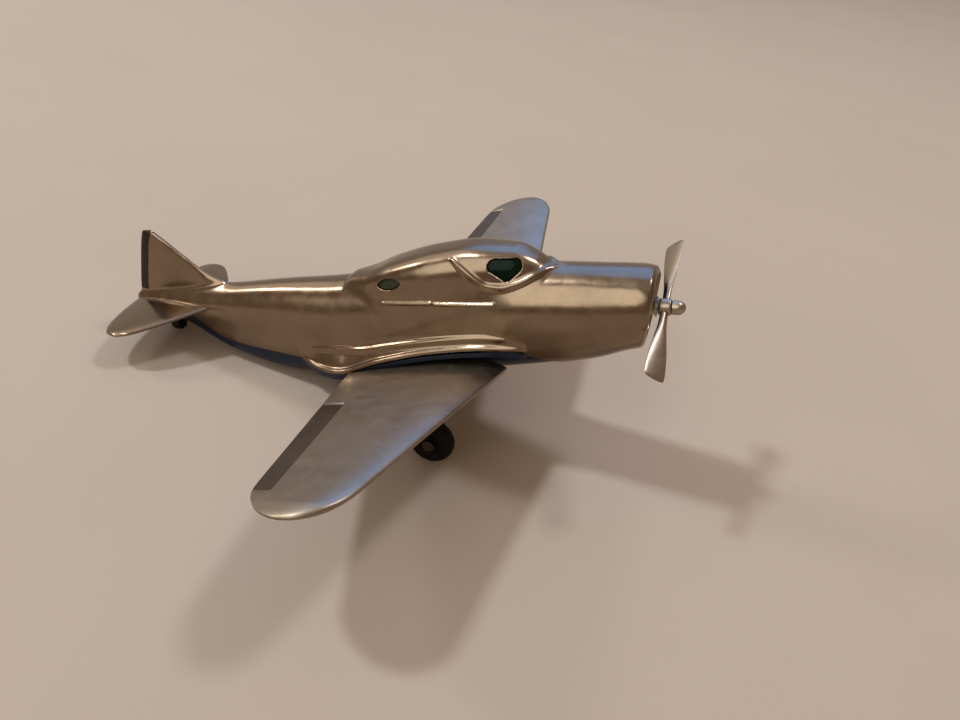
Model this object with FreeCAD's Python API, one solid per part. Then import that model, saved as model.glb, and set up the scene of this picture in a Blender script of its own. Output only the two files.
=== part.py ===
import FreeCAD, Part

import math
import os

# Pocket die-cast model of a low-wing tail-dragger plane, in millimetres.
# Everything is drawn level in the flight frame: +X nose, +Y left, +Z up, datum between the main wheels.
# place() then pitches it nose-up onto its three wheels, with z = 0 at the ground and the origin under
# the middle of the whole model.

V = FreeCAD.Vector

# Attitude and origin of the standing model
PITCH = 12.2                # nose-up angle on its wheels, degrees
GROUND = -1.14              # ground height below the flight datum
CENTRE_X = -15.25           # middle of the standing model's length

# Body: station x, top z, bottom z, half width, squareness of the section's lower half
BODY = [
    (29.8, 24.9, 14.9, 4.95, 2.2),
    (29.2, 25.3, 14.5, 5.35, 2.2),
    (27.6, 25.5, 14.2, 5.55, 2.2),
    (22.0, 25.4, 12.1, 5.75, 2.2),
    (15.0, 25.2, 10.4, 5.95, 2.2),
    (8.0, 25.0, 9.0, 6.05, 2.2),
    (0.0, 24.3, 7.5, 6.0, 2.2),
    (-9.0, 22.9, 6.2, 5.8, 2.3),
    (-18.0, 21.3, 5.6, 5.4, 2.7),
    (-28.0, 20.2, 5.9, 4.6, 3.3),
    (-38.0, 18.8, 7.9, 3.6, 3.4),
    (-47.0, 17.6, 11.7, 2.5, 2.6),
    (-54.0, 16.6, 13.7, 1.5, 2.2),
    (-57.0, 16.0, 14.7, 0.8, 2.2),
]
BODY_POWER = 2.2            # squareness of the upper halves
WALL = 1.0                  # casting wall
HUMP = [                    # canopy hump: station x, top z, half width
    (16.0, 24.6, 2.4),
    (13.6, 26.6, 3.5),
    (10.5, 27.8, 4.3),
    (5.5, 28.0, 4.9),
    (-1.0, 27.0, 5.0),
    (-8.0, 24.9, 4.5),
    (-12.0, 23.2, 3.4),
    (-15.0, 22.2, 2.1),
]
HUMP_MID = 20.5             # middle height of the hump's sections
HUMP_POWER = 2.4
BODY_RING = 16              # points round a body section
HUMP_RING = 12
GLAZING_Z = 21.8            # the glazing's lower edge
THRUST_Z = 19.9             # height of the propeller axis

# Parting line between the polished shell and the dark chassis: x, z
PARTING = [(36.0, 8.0), (23.0, 11.7), (17.5, 12.0), (13.6, 13.4), (10.5, 14.4), (4.0, 13.8),
           (-3.0, 12.7), (-10.0, 10.9), (-17.0, 8.9), (-22.0, 9.1), (-27.0, 9.5), (-31.5, 9.8),
           (-36.0, 10.2), (-39.5, 10.9), (-42.0, 12.4), (-44.5, 13.9), (-48.0, 14.8), (-53.0, 15.0),
           (-62.0, 15.0)]
CHASSIS_INSET = 0.35        # the chassis stands this far inside the shell's edge

# Wing-root fairing: x, reach y, lip z, top z where it meets the body side
FAIRING = [
    (12.6, 6.0, 14.5, 15.5),
    (7.7, 6.8, 14.6, 16.4),
    (-0.2, 7.3, 13.7, 15.8),
    (-9.4, 7.9, 11.4, 13.9),
    (-16.0, 8.2, 9.1, 12.5),
    (-20.0, 7.1, 8.8, 12.0),
    (-24.5, 4.9, 9.6, 11.6),
]
LIP = 0.45                  # thickness of the fairing's edge
SEAL = 1.3                  # height of the dark root strip between the fairing and the wing
FAIRING_IN = 3.6            # the fairing and strip start this far from the centre

# Wing
ROOT_Y = 5.0
TIP_Y = 47.3
LE_ROOT, LE_RAKE = 9.6, 0.135
TE_ROOT, TE_RAKE = -14.8, 0.195
TIP_ROUND = 6.5             # length of the rounded tip
WING_Z = 10.9               # chord plane at the leading edge of the root
INCIDENCE = 5.0
DIHEDRAL = 10.4
ROOT_THICK, TIP_THICK = 3.0, 1.5
TE_THICK = 0.35
TAB_X0, TAB_X1 = -7.0, 5.0  # root tab, chordwise
TAB_IN = 1.2                # distance of the tab's end from the centre
TAB_THICK = 1.6
TAB_OVERLAP = 0.6           # the tab runs this far into the panel
AILERON_Y0, AILERON_Y1 = 20.0, 42.5
AILERON_CHORD = 3.6
GROOVE = 0.3

# Tail
STAB_Z = 15.5
STAB = [                    # y, leading edge x, trailing edge x, thickness
    (0.0, -38.6, -56.4, 1.3),
    (3.0, -41.2, -56.2, 1.3),
    (7.0, -44.0, -55.6, 1.15),
    (10.5, -46.6, -54.6, 1.0),
    (12.8, -48.8, -53.2, 0.8),
    (13.7, -50.6, -51.6, 0.5),
]
FIN = [                     # z, leading edge x, trailing edge x, thickness
    (15.6, -34.0, -56.6, 1.8),
    (18.3, -37.0, -55.8, 1.7),
    (20.3, -41.6, -55.1, 1.5),
    (23.0, -45.0, -54.1, 1.3),
    (25.6, -48.0, -53.1, 1.1),
    (27.1, -49.9, -52.4, 0.8),
]
FIN_TOP = 27.5

# Windows in the hump, both sides: centre x, centre z, half length, half height, tilt
WINDOWS = [(9.85, 25.75, 2.25, 1.5, 4.0), (-7.3, 22.7, 1.9, 0.95, 12.0)]
WINDOW_IN = 1.4             # the openings start this far from the centre
PANE_STEP = 0.25            # the panes stand this far below the hump's skin
GLAZING_WALL = 0.8

# Cowl, engine face and propeller
COWL_BORE = 4.45
RAKE = 0.16                 # the cowl's front leans back below RAKE_Z by this much per mm
RAKE_Z = 23.0
SILL = [(-8.4, -0.7, 19.8, 20.5), (-0.3, 8.5, 20.45, 21.0)]     # raised lines: x and z of both ends
SILL_PROUD = 0.3
SILL_TALL = 0.45
SILL_IN = 3.9
ENGINE_X0, ENGINE_X1 = 26.2, 27.4
CYLINDERS = 9
CYLINDER_R, CYLINDER_LONG = 0.62, 2.3
CRANKCASE_R, CRANKCASE_LONG = 1.9, 1.2
CYLINDER_STEP = 0.3         # the cylinders stand this far ahead of the disc
BUSH_R = 1.15
BUSH_X0, BUSH_X1 = 25.2, 29.4
SHAFT_R = 0.55
RUNNING = 0.05              # radial clearance of everything that turns
END_PLAY = 0.12             # axial clearance of everything that turns
CLIP_R, CLIP_THICK = 1.3, 0.4
WASHER_R, WASHER_THICK = 1.35, 0.3
HUB_R, HUB_LONG = 1.15, 1.7
BLADE_REACH = 11.7          # propeller radius
BLADE_ANGLE = 66.0          # rest position, degrees from upright towards the left wing
BLADES = 2
BLADE_PITCH_ROOT, BLADE_PITCH_TIP = 62.0, 50.0
BLADE = [                   # fraction of the radius, chord, thickness
    (0.06, 1.1, 0.9),
    (0.22, 1.2, 0.8),
    (0.45, 2.0, 0.65),
    (0.70, 2.85, 0.55),
    (0.90, 3.2, 0.5),
    (0.985, 3.05, 0.45),
    (1.0, 2.5, 0.3),
]
SPINNER_R, SPINNER_LONG = 1.0, 1.9
SHAFT_TIP = 0.9             # length of the shaft inside the spinner
SHAFT_TAIL = 0.4            # length of the shaft behind its clip

# Main wheels
WHEEL_X = -0.1
TYRE_R, TYRE_WIDTH = 3.35, 2.3
RIM_R, RIM_WIDTH = 1.95, 2.0
HUB_WALL, HUB_FLANGE = 0.45, 0.2    # wall of the hub's boss and of its rim
HUB_DISH, HUB_SLOPE = 0.4, 0.12     # depth of the dished faces, and their draft
AXLE_R = 0.5
AXLE_HEAD_R, AXLE_HEAD = 0.9, 0.4
LEG_R = 0.75
LEG_TOP_X = 2.4
LEG_Y = 10.25
BOSS_R, BOSS_WIDTH = 1.35, 1.4
WHEEL_GAP = 0.4             # between the leg's boss and the wheel
AXLE_PLAY = 0.25            # between the wheel and the axle's head

# Tail wheel
TAIL_X = -50.4
TAIL_R, TAIL_WIDTH = 1.2, 1.0
CHEEK = 0.5
CHEEK_GAP = 0.15
FORK_LONG = 2.6
TAIL_PIN_R = 0.35
CHEEK_HALF = 0.8            # half length of a cheek, and the radius of its round end
PLATE = 0.7                 # thickness of the fork's top plate
FORK_RISE = 0.35            # gap between the tail wheel and the plate
FIT = 0.03                  # clearance of parts seated in one another

# Belly screws and the posts they thread into: x
SCREWS = {"belly_screw_front": 16.5, "belly_screw_rear": -30.0}
POST_R = 1.7
SCREW_R, SCREW_HEAD_R, SCREW_HEAD = 0.6, 1.2, 0.7
SCREW_LONG = 6.0
SCREW_SUNK = 0.42           # depth of the head's recess
POST_SEAT = 0.85            # chassis wall left round a post
FLOOR = 1.0                 # chassis floor

# Height of the flat pad cut under the chassis
PAD_Z = 6.3


def standing_z(x, radius):
    """Flight-frame height of a wheel's centre when the wheel stands on the ground."""
    pitch = math.radians(PITCH)
    return (radius + GROUND - x * math.sin(pitch)) / math.cos(pitch)


WHEEL_Z = standing_z(WHEEL_X, TYRE_R)
TAIL_Z = standing_z(TAIL_X, TAIL_R)
FORK_Z = TAIL_Z + TAIL_R + FORK_RISE


def smooth(table, x, column):
    """A column of a table of falling x values, on a smooth curve that never overshoots its rows."""
    if x >= table[0][0] or x <= table[-1][0]:
        return table[0][column] if x >= table[0][0] else table[-1][column]
    i = max(k for k in range(len(table) - 1) if table[k][0] >= x)
    slopes = []
    for k in (i - 1, i, i + 1):
        k = min(max(k, 0), len(table) - 2)
        slopes.append((table[k + 1][column] - table[k][column]) / (table[k + 1][0] - table[k][0]))
    before, here, after = slopes
    start = 2 * before * here / (before + here) if before * here > 0 else 0.0
    finish = 2 * here * after / (here + after) if here * after > 0 else 0.0
    span = table[i + 1][0] - table[i][0]
    t = (x - table[i][0]) / span
    low, high = table[i][column], table[i + 1][column]
    return (low * (1 + 2 * t) * (1 - t) ** 2 + start * span * t * (1 - t) ** 2
            + high * t * t * (3 - 2 * t) + finish * span * t * t * (t - 1))


def rounded(a, power):
    """Cosine and sine pushed towards a square by a power over 2."""
    c, s = math.cos(a), math.sin(a)
    return math.copysign(abs(c) ** (2 / power), c), math.copysign(abs(s) ** (2 / power), s)


def closed(points):
    """A smooth closed wire through the points."""
    curve = Part.BSplineCurve()
    curve.interpolate(points, True)
    return Part.Wire(curve.toShape())


def polygon(points):
    return Part.makePolygon(points + points[:1])


def body_ring(x, inset):
    top, bottom, half, low_power = (smooth(BODY, x, i) for i in (1, 2, 3, 4))
    points = []
    for i in range(BODY_RING):
        a = math.tau * (i + 0.5) / BODY_RING
        c, s = rounded(a, BODY_POWER if a < math.pi else low_power)
        points.append(V(x, (half - inset) * c, (top + bottom) / 2 + ((top - bottom) / 2 - inset) * s))
    return closed(points)


def body_solid(inset=0.0, front=None, back=None):
    """The body without its hump, or the same drawn in by inset, between two stations."""
    ends = {x for x in (front, back) if x is not None}
    inside = {x for x, *_ in BODY if (front is None or x < front - 1) and (back is None or x > back + 1)}
    return Part.makeLoft([body_ring(x, inset) for x in sorted(inside | ends, reverse=True)], True)


def hump_solid(inset=0.0):
    """The canopy hump, whose lower half is inside the body."""
    rings = []
    for x, top, half in HUMP:
        tall = max(top - inset - HUMP_MID, 0.6)
        points = []
        for i in range(HUMP_RING):
            c, s = rounded(math.tau * (i + 0.5) / HUMP_RING, HUMP_POWER)
            points.append(V(x, (half - inset) * c, HUMP_MID + tall * s))
        rings.append(closed(points))
    return Part.makeLoft(rings, True)


def below_parting():
    """Everything under the parting line, as a slab across the model."""
    curve = Part.BSplineCurve()
    curve.interpolate([V(x, -30, z) for x, z in PARTING])
    (x0, z0), (x1, z1) = PARTING[0], PARTING[-1]
    sides = Part.makePolygon([V(x1, -30, z1), V(x1, -30, -20), V(x0, -30, -20), V(x0, -30, z0)])
    outline = Part.Wire([curve.toShape()] + sides.Edges)
    return Part.Face(outline).extrude(V(0, 60, 0))


def mirrored(shape):
    return shape.mirror(V(0, 0, 0), V(0, 1, 0))


def both_sides(shape):
    return [shape, mirrored(shape)]


def oval_half(half, tall, rise, power):
    """Half width of a squared oval at a height over its middle."""
    return half * max(0.0, 1 - (abs(rise) / tall) ** power) ** (1 / power)


def skin_half(x, z):
    """Half width of the body or its hump, whichever is wider, at a station and height."""
    top, bottom, half, low_power = (smooth(BODY, x, i) for i in (1, 2, 3, 4))
    rise = z - (top + bottom) / 2
    body = oval_half(half, (top - bottom) / 2, rise, BODY_POWER if rise > 0 else low_power)
    if not HUMP[-1][0] < x < HUMP[0][0]:
        return body
    return max(body, oval_half(smooth(HUMP, x, 2), smooth(HUMP, x, 1) - HUMP_MID, z - HUMP_MID,
                               HUMP_POWER))


def fairing():
    """Left wing-root fairing: a hollow curve from the body side out to a thin lip."""
    wires = []
    for x, reach, lip, top in FAIRING:
        side = skin_half(x, top)
        low, high = V(x, reach, lip), V(x, reach, lip + LIP)
        join = V(x, side, top)
        bend = V(x, side + 0.22 * (reach - side), lip + LIP + 0.3 * (top - lip - LIP))
        edges = [
            Part.makeLine(V(x, FAIRING_IN, lip), low),
            Part.makeLine(low, high),
            Part.Arc(high, bend, join).toShape(),
            Part.makeLine(join, V(x, FAIRING_IN, top)),
            Part.makeLine(V(x, FAIRING_IN, top), V(x, FAIRING_IN, lip)),
        ]
        wires.append(Part.Wire(edges))
    return Part.makeLoft(wires, True)


def root_strip():
    """Left dark strip of the chassis that fills the step between the fairing's lip and the wing."""
    wires = []
    for x, reach, lip, _ in FAIRING:
        out = reach - CHASSIS_INSET
        wires.append(polygon([V(x, FAIRING_IN, lip - SEAL), V(x, out, lip - SEAL),
                              V(x, out, lip), V(x, FAIRING_IN, lip)]))
    return Part.makeLoft(wires, True)


def window_prism(window, grow=0.0):
    """Left and right prisms of one window opening."""
    x, z, long, tall, tilt = window
    points = []
    for i in range(16):
        c, s = rounded(math.tau * i / 16, 1.7)
        points.append(V((long + grow) * c, WINDOW_IN, (tall + grow) * s))
    left = Part.Face(closed(points)).extrude(V(0, 12, 0))
    left.rotate(V(0, 0, 0), V(0, 1, 0), -tilt)
    left.translate(V(x, 0, z))
    return both_sides(left)


def lens_ring(place_at, front, back, thick):
    """A closed lens section from front to back; place_at(along, across) gives its points."""
    mid, half = (front + back) / 2, (front - back) / 2
    points = []
    for i in range(20):
        a = math.tau * (i + 0.5) / 20
        points.append(place_at(mid + half * math.cos(a), thick / 2 * math.sin(a)))
    return closed(points)


def fin():
    rings = []
    for z, front, back, thick in FIN:
        rings.append(lens_ring(lambda along, across, z=z: V(along, across, z), front, back, thick))
    front, back, thick = FIN[-1][1] - 0.45, FIN[-1][2] + 0.1, 0.35
    rings.append(lens_ring(lambda along, across: V(along, across, FIN_TOP), front, back, thick))
    return Part.makeLoft(rings, True)


def screw_post(x, bottom):
    """A round post under the shell's roof at a belly screw, with its pilot hole."""
    post = Part.makeCylinder(POST_R, smooth(BODY, x, 1) - WALL / 2 - bottom, V(x, 0, bottom))
    return post.cut(Part.makeCylinder(SCREW_R, SCREW_LONG, V(x, 0, bottom)))


def floor_z(x):
    return smooth(BODY, x, 2) + CHASSIS_INSET


def ridges():
    """Raised moulding lines along the canopy sill, in two steps on each side."""
    bars = []
    for x0, x1, z0, z1 in SILL:
        proud = SILL_PROUD
        corners = [V(x0, skin_half(x0, z0) + proud, z0), V(x1, skin_half(x1, z1) + proud, z1),
                   V(x1, SILL_IN, z1), V(x0, SILL_IN, z0)]
        bars += both_sides(Part.Face(polygon(corners)).extrude(V(0, 0, SILL_TALL)))
    return bars


def cowl_rake():
    """What is cut off the cowl to lean its front back."""
    x0, low = BODY[0][0], 10.0
    corners = [V(x0, -10, RAKE_Z), V(x0 + 2, -10, RAKE_Z), V(x0 + 2, -10, low),
               V(x0 - RAKE * (RAKE_Z - low), -10, low)]
    return Part.Face(polygon(corners)).extrude(V(0, 20, 0))


def fuselage_shell():
    """Polished upper casting: hollow body, hump, fin, fairings, sill lines, windows and screw posts."""
    shell = body_solid().cut(below_parting())
    for part in [hump_solid(), fin()] + both_sides(fairing()) + ridges():
        shell = shell.fuse(part)
    shell = shell.cut(body_solid(WALL, front=ENGINE_X0, back=-47.0)).cut(hump_solid(WALL))
    shell = shell.cut(thrust_rod(COWL_BORE, ENGINE_X0, ENGINE_X0 + 10))
    for window in WINDOWS:
        for prism in window_prism(window):
            shell = shell.cut(prism)
    for x in SCREWS.values():
        shell = shell.fuse(screw_post(x, floor_z(x) + FLOOR))
    return shell.cut(cowl_rake()).cut(stab_blank(FIT))


def chassis():
    """Dark moulded underside: floor, side walls, root strips, sockets and the flat pad."""
    below = below_parting()
    hollow = body_solid(CHASSIS_INSET + FLOOR, front=21.0, back=-44.0)
    hollow = hollow.cut(Part.makeBox(90, 30, 20, V(-60, -15, PAD_Z + FLOOR - 20)))
    hollow = hollow.cut(Part.makeBox(TAB_X1 - TAB_X0 + 3, 30, 30, V(TAB_X0 - 1.5, -15, -10)))
    for x in SCREWS.values():
        hollow = hollow.cut(Part.makeCylinder(POST_R + POST_SEAT, 30, V(x, 0, 0)))
    pan = body_solid(CHASSIS_INSET).common(below).cut(cowl_rake())
    for strip in both_sides(root_strip()):
        pan = pan.fuse(strip.common(below))
    pan = pan.cut(hollow)
    for part in (tab(0.05), wing_panel(0.05)):
        for side in both_sides(part):
            pan = pan.cut(side)
    pan = pan.cut(Part.makeBox(60, 60, 20, V(-40, -30, PAD_Z - 20)))
    for x in SCREWS.values():
        seat = floor_z(x) + SCREW_SUNK
        pan = pan.cut(Part.makeCylinder(POST_R + 0.05, 20, V(x, 0, floor_z(x) + FLOOR)))
        pan = pan.cut(Part.makeCylinder(SCREW_R, 10, V(x, 0, seat - 5)))
        pan = pan.cut(Part.makeCylinder(SCREW_HEAD_R + 0.05, 10, V(x, 0, seat - 10)))
    return pan.cut(fork_plate(FIT)).cut(stab_blank(FIT))


def wing_frame(x, y):
    """Height of the wing's chord plane."""
    rise = math.tan(math.radians(DIHEDRAL)) * (y - ROOT_Y)
    return WING_Z + rise + math.tan(math.radians(INCIDENCE)) * (x - LE_ROOT)


def wing_edges(y):
    """Leading and trailing edge x, drawn together over the rounded tip."""
    front = LE_ROOT - LE_RAKE * (y - ROOT_Y)
    back = TE_ROOT + TE_RAKE * (y - ROOT_Y)
    into = max(0.0, (y - (TIP_Y - TIP_ROUND)) / TIP_ROUND)
    shrink = math.sqrt(max(0.0, 1 - into ** 2.3))
    mid = front - 0.46 * (front - back)
    return mid + (front - mid) * shrink, mid + (back - mid) * shrink


def wing_ring(y, grow):
    front, back = wing_edges(y)
    chord = front - back + 2 * grow
    share = (y - ROOT_Y) / (TIP_Y - ROOT_Y)
    thick = (ROOT_THICK + share * (TIP_THICK - ROOT_THICK)) * min(1.0, chord / 9.0)
    points = []
    for i in range(24):
        a = math.tau * (i + 0.5) / 24
        along = (1 - math.cos(a)) / 2
        depth = 1.48 * math.sqrt(along) - 0.63 * along - 1.758 * along ** 2 + 1.4215 * along ** 3
        depth = (depth - 0.5075 * along ** 4) * thick + TE_THICK / 2 * along + grow
        x = front + grow - chord * along
        points.append(V(x, y, wing_frame(x, y) + math.copysign(depth, math.sin(a))))
    return closed(points)


def wing_panel(grow=0.0):
    ys = [ROOT_Y, 10.0, 18.0, 28.0, TIP_Y - TIP_ROUND, TIP_Y - 4.2, TIP_Y - 2.2, TIP_Y - 0.9, TIP_Y - 0.15]
    return Part.makeLoft([wing_ring(y, grow) for y in ys], True)


def tab(grow=0.0):
    """Left root tab that plugs into the chassis."""
    corners = []
    for x in (TAB_X0 - grow, TAB_X1 + grow):
        for lift in (-TAB_THICK / 2 - grow, TAB_THICK / 2 + grow):
            corners.append(V(x, TAB_IN, wing_frame(x, ROOT_Y) + lift))
    face = Part.Face(polygon([corners[0], corners[2], corners[3], corners[1]]))
    return face.extrude(V(0, ROOT_Y + TAB_OVERLAP - TAB_IN, 0))


def aileron_groove():
    """Shallow hinge groove ahead of the aileron on the upper skin, and its two end slits."""
    grooves = []
    ends = []
    for y in (AILERON_Y0, AILERON_Y1):
        x = wing_edges(y)[1] + AILERON_CHORD * (1 if y == AILERON_Y0 else 0.75)
        ends.append(V(x, y, wing_frame(x, y) + upper_depth(x, y)))
    along = ends[1] - ends[0]
    grooves.append(Part.makeCylinder(GROOVE / 2, along.Length, ends[0], along))
    for end in ends:
        back = V(wing_edges(end.y)[1] - 0.5, end.y, 0)
        back.z = wing_frame(back.x, end.y) + TE_THICK / 2
        grooves.append(Part.makeCylinder(GROOVE / 2, (back - end).Length, end, back - end))
    return grooves


def upper_depth(x, y):
    """Height of the upper skin over the chord plane."""
    front, back = wing_edges(y)
    along = (front - x) / (front - back)
    share = (y - ROOT_Y) / (TIP_Y - ROOT_Y)
    depth = 1.48 * math.sqrt(along) - 0.63 * along - 1.758 * along ** 2 + 1.4215 * along ** 3
    thick = ROOT_THICK + share * (TIP_THICK - ROOT_THICK)
    return (depth - 0.5075 * along ** 4) * thick + TE_THICK / 2 * along


def wing():
    """Left wing panel with its root tab, aileron grooves and leg socket."""
    panel = wing_panel().cut(leg_socket())
    return panel.cut(aileron_groove()).fuse(tab())


def stab_blank(grow=0.0):
    rows = STAB[:0:-1] + [(-y, front, back, thick) for y, front, back, thick in STAB]
    rings = []
    for y, front, back, thick in rows:
        rings.append(lens_ring(lambda along, across, y=-y: V(along, y, STAB_Z + across),
                               front + grow, back - grow, thick + 2 * grow))
    return Part.makeLoft(rings, True)


def window_glazing():
    """One dark green moulding that lines the hump and stands in both pairs of openings."""
    inner = hump_solid(WALL + 0.05 + GLAZING_WALL)
    liner = hump_solid(WALL + 0.05).cut(inner)
    liner = liner.common(Part.makeBox(29.0, 20, 12, V(-14.5, -10, GLAZING_Z)))
    liner = liner.cut(Part.makeCylinder(POST_R + 0.1, 30, V(SCREWS["belly_screw_front"], 0, 0)))
    skin = hump_solid(PANE_STEP)
    panes = []
    for window in WINDOWS:
        for prism in window_prism(window, -0.05):
            panes.append(prism.common(skin).cut(inner))
    return liner.fuse(panes)


def rod(radius, start, end, x=None, y=None, z=None):
    """A round bar along the axis that isn't given."""
    if x is None:
        return Part.makeCylinder(radius, end - start, V(start, y, z), V(1, 0, 0))
    return Part.makeCylinder(radius, end - start, V(x, start, z), V(0, 1, 0))


def thrust_rod(radius, start, end):
    return rod(radius, start, end, y=0, z=THRUST_Z)


def engine_face():
    """Dark disc in the cowl with nine stub cylinders round a crankcase."""
    disc = thrust_rod(COWL_BORE, ENGINE_X0, ENGINE_X1)
    case = thrust_rod(CRANKCASE_R, ENGINE_X1, ENGINE_X1 + CRANKCASE_LONG)
    stubs = []
    for i in range(CYLINDERS):
        a = math.tau * i / CYLINDERS
        out = V(0, math.sin(a), math.cos(a))
        base = V(ENGINE_X1 + CYLINDER_STEP, 0, THRUST_Z) + out * (CRANKCASE_R - 0.2)
        stubs.append(Part.makeCylinder(CYLINDER_R, CYLINDER_LONG, base, out))
    return disc.fuse([case] + stubs).cut(thrust_rod(BUSH_R, 20, 32))


def prop_bush():
    return thrust_rod(BUSH_R, BUSH_X0, BUSH_X1).cut(thrust_rod(SHAFT_R + RUNNING, 20, 34))


def hub_x0():
    return BUSH_X1 + WASHER_THICK + 2 * END_PLAY


def thrust_washer():
    start = BUSH_X1 + END_PLAY
    return thrust_rod(WASHER_R, start, start + WASHER_THICK).cut(thrust_rod(SHAFT_R, 20, 34))


def prop_shaft():
    return thrust_rod(SHAFT_R, BUSH_X0 - END_PLAY - CLIP_THICK - SHAFT_TAIL,
                      hub_x0() + HUB_LONG + SHAFT_TIP)


def shaft_clip():
    start = BUSH_X0 - END_PLAY - CLIP_THICK
    return thrust_rod(CLIP_R, start, start + CLIP_THICK).cut(thrust_rod(SHAFT_R, 20, 34))


def blade():
    """One paddle blade standing up from the hub, twisted along its length."""
    rings = []
    for share, chord, thick in BLADE:
        turn = math.radians(BLADE_PITCH_ROOT + share * (BLADE_PITCH_TIP - BLADE_PITCH_ROOT))
        points = []
        for i in range(16):
            a = math.tau * (i + 0.5) / 16
            c, s = rounded(a, 2.6)
            along, across = chord / 2 * c, thick / 2 * s
            x = along * math.sin(turn) - across * math.cos(turn)
            y = -along * math.cos(turn) - across * math.sin(turn)
            points.append(V(x, y, share * BLADE_REACH))
        rings.append(closed(points))
    return Part.makeLoft(rings, True)


def propeller():
    hub = thrust_rod(HUB_R, hub_x0(), hub_x0() + HUB_LONG)
    blades = []
    for i in range(BLADES):
        one = blade()
        one.rotate(V(0, 0, 0), V(1, 0, 0), -BLADE_ANGLE + 360 * i / BLADES)
        one.translate(V(hub_x0() + HUB_LONG / 2, 0, THRUST_Z))
        blades.append(one)
    return hub.fuse(blades).cut(thrust_rod(SHAFT_R, 20, 40))


def spinner():
    """Round-nosed cap pushed over the shaft's end."""
    x0 = hub_x0() + HUB_LONG
    straight = SPINNER_LONG - SPINNER_R
    outline = Part.Wire([
        Part.makeLine(V(x0, 0, 0), V(x0, 0, SPINNER_R)),
        Part.makeLine(V(x0, 0, SPINNER_R), V(x0 + straight, 0, SPINNER_R)),
        Part.Arc(V(x0 + straight, 0, SPINNER_R),
                 V(x0 + straight + SPINNER_R * math.sqrt(0.5), 0, SPINNER_R * math.sqrt(0.5)),
                 V(x0 + SPINNER_LONG, 0, 0)).toShape(),
        Part.makeLine(V(x0 + SPINNER_LONG, 0, 0), V(x0, 0, 0)),
    ])
    cap = Part.Face(outline).revolve(V(0, 0, 0), V(1, 0, 0), 360)
    cap.translate(V(0, 0, THRUST_Z))
    return cap.cut(thrust_rod(SHAFT_R, 20, x0 + SHAFT_TIP))


def leg_line():
    """Top and bottom of the left leg's centre line."""
    top = V(LEG_TOP_X, LEG_Y, wing_frame(LEG_TOP_X, LEG_Y))
    return top, V(WHEEL_X, LEG_Y, WHEEL_Z)


def leg_socket():
    top, bottom = leg_line()
    return Part.makeCylinder(LEG_R, (top - bottom).Length, bottom, top - bottom)


def gear_leg():
    """Left leg: a tapered strut with a spigot in the wing and a boss for the axle."""
    top, bottom = leg_line()
    down = bottom - top
    strut = Part.makeCylinder(LEG_R, down.Length, top, down)
    boss = rod(BOSS_R, LEG_Y - BOSS_WIDTH / 2, LEG_Y + BOSS_WIDTH / 2, x=WHEEL_X, z=WHEEL_Z)
    return strut.fuse(boss).cut(rod(AXLE_R, 0, 30, x=WHEEL_X, z=WHEEL_Z))


def hub_inner():
    return LEG_Y + BOSS_WIDTH / 2 + WHEEL_GAP


def turned(points):
    """A ring turned about the left axle line from (y, radius) points."""
    outline = polygon([V(0, y, r) for y, r in points])
    ring = Part.Face(outline).revolve(V(0, 0, 0), V(0, 1, 0), 360)
    ring.translate(V(WHEEL_X, 0, WHEEL_Z))
    return ring


def wheel_hub():
    """Left wheel centre with dished faces and a boss round the axle."""
    y0 = hub_inner()
    y1 = y0 + RIM_WIDTH
    bore, boss = AXLE_R + RUNNING, AXLE_R + HUB_WALL
    flange, slope = RIM_R - HUB_FLANGE, HUB_SLOPE
    inner = [(y0, bore), (y0, boss), (y0 + HUB_DISH, boss + slope),
             (y0 + HUB_DISH, flange - slope), (y0, flange)]
    outer = [(y1, flange), (y1 - HUB_DISH, flange - slope),
             (y1 - HUB_DISH, boss + slope), (y1, boss), (y1, bore)]
    return turned(inner + [(y0, RIM_R), (y1, RIM_R)] + outer)


def tyre():
    """Left tyre with a rounded tread."""
    mid = hub_inner() + RIM_WIDTH / 2
    half = TYRE_WIDTH / 2
    shoulder = TYRE_R - 0.75
    arc = Part.Arc(V(0, mid - half, shoulder), V(0, mid, TYRE_R), V(0, mid + half, shoulder)).toShape()
    sides = Part.makePolygon([V(0, mid + half, shoulder), V(0, mid + half, RIM_R + 0.4),
                              V(0, mid + RIM_WIDTH / 2, RIM_R), V(0, mid - RIM_WIDTH / 2, RIM_R),
                              V(0, mid - half, RIM_R + 0.4), V(0, mid - half, shoulder)])
    ring = Part.Face(Part.Wire([arc] + sides.Edges)).revolve(V(0, 0, 0), V(0, 1, 0), 360)
    ring.translate(V(WHEEL_X, 0, WHEEL_Z))
    return ring


def axle():
    """Left stub axle: a pin pressed into the leg, with a head outside the wheel."""
    head = hub_inner() + RIM_WIDTH + AXLE_PLAY
    pin = rod(AXLE_R, LEG_Y - BOSS_WIDTH / 2, head, x=WHEEL_X, z=WHEEL_Z)
    cap = rod(AXLE_HEAD_R, head, head + AXLE_HEAD, x=WHEEL_X, z=WHEEL_Z)
    return pin.fuse(cap)


def fork_plate(grow=0.0):
    """The fork's top plate, which sits in a pocket under the tail of the chassis."""
    long, half = FORK_LONG / 2 + grow, TAIL_WIDTH / 2 + CHEEK_GAP + CHEEK + grow
    start = V(TAIL_X - long, -half, FORK_Z - grow)
    return Part.makeBox(2 * long, 2 * half, PLATE + 2 * grow, start)


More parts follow.
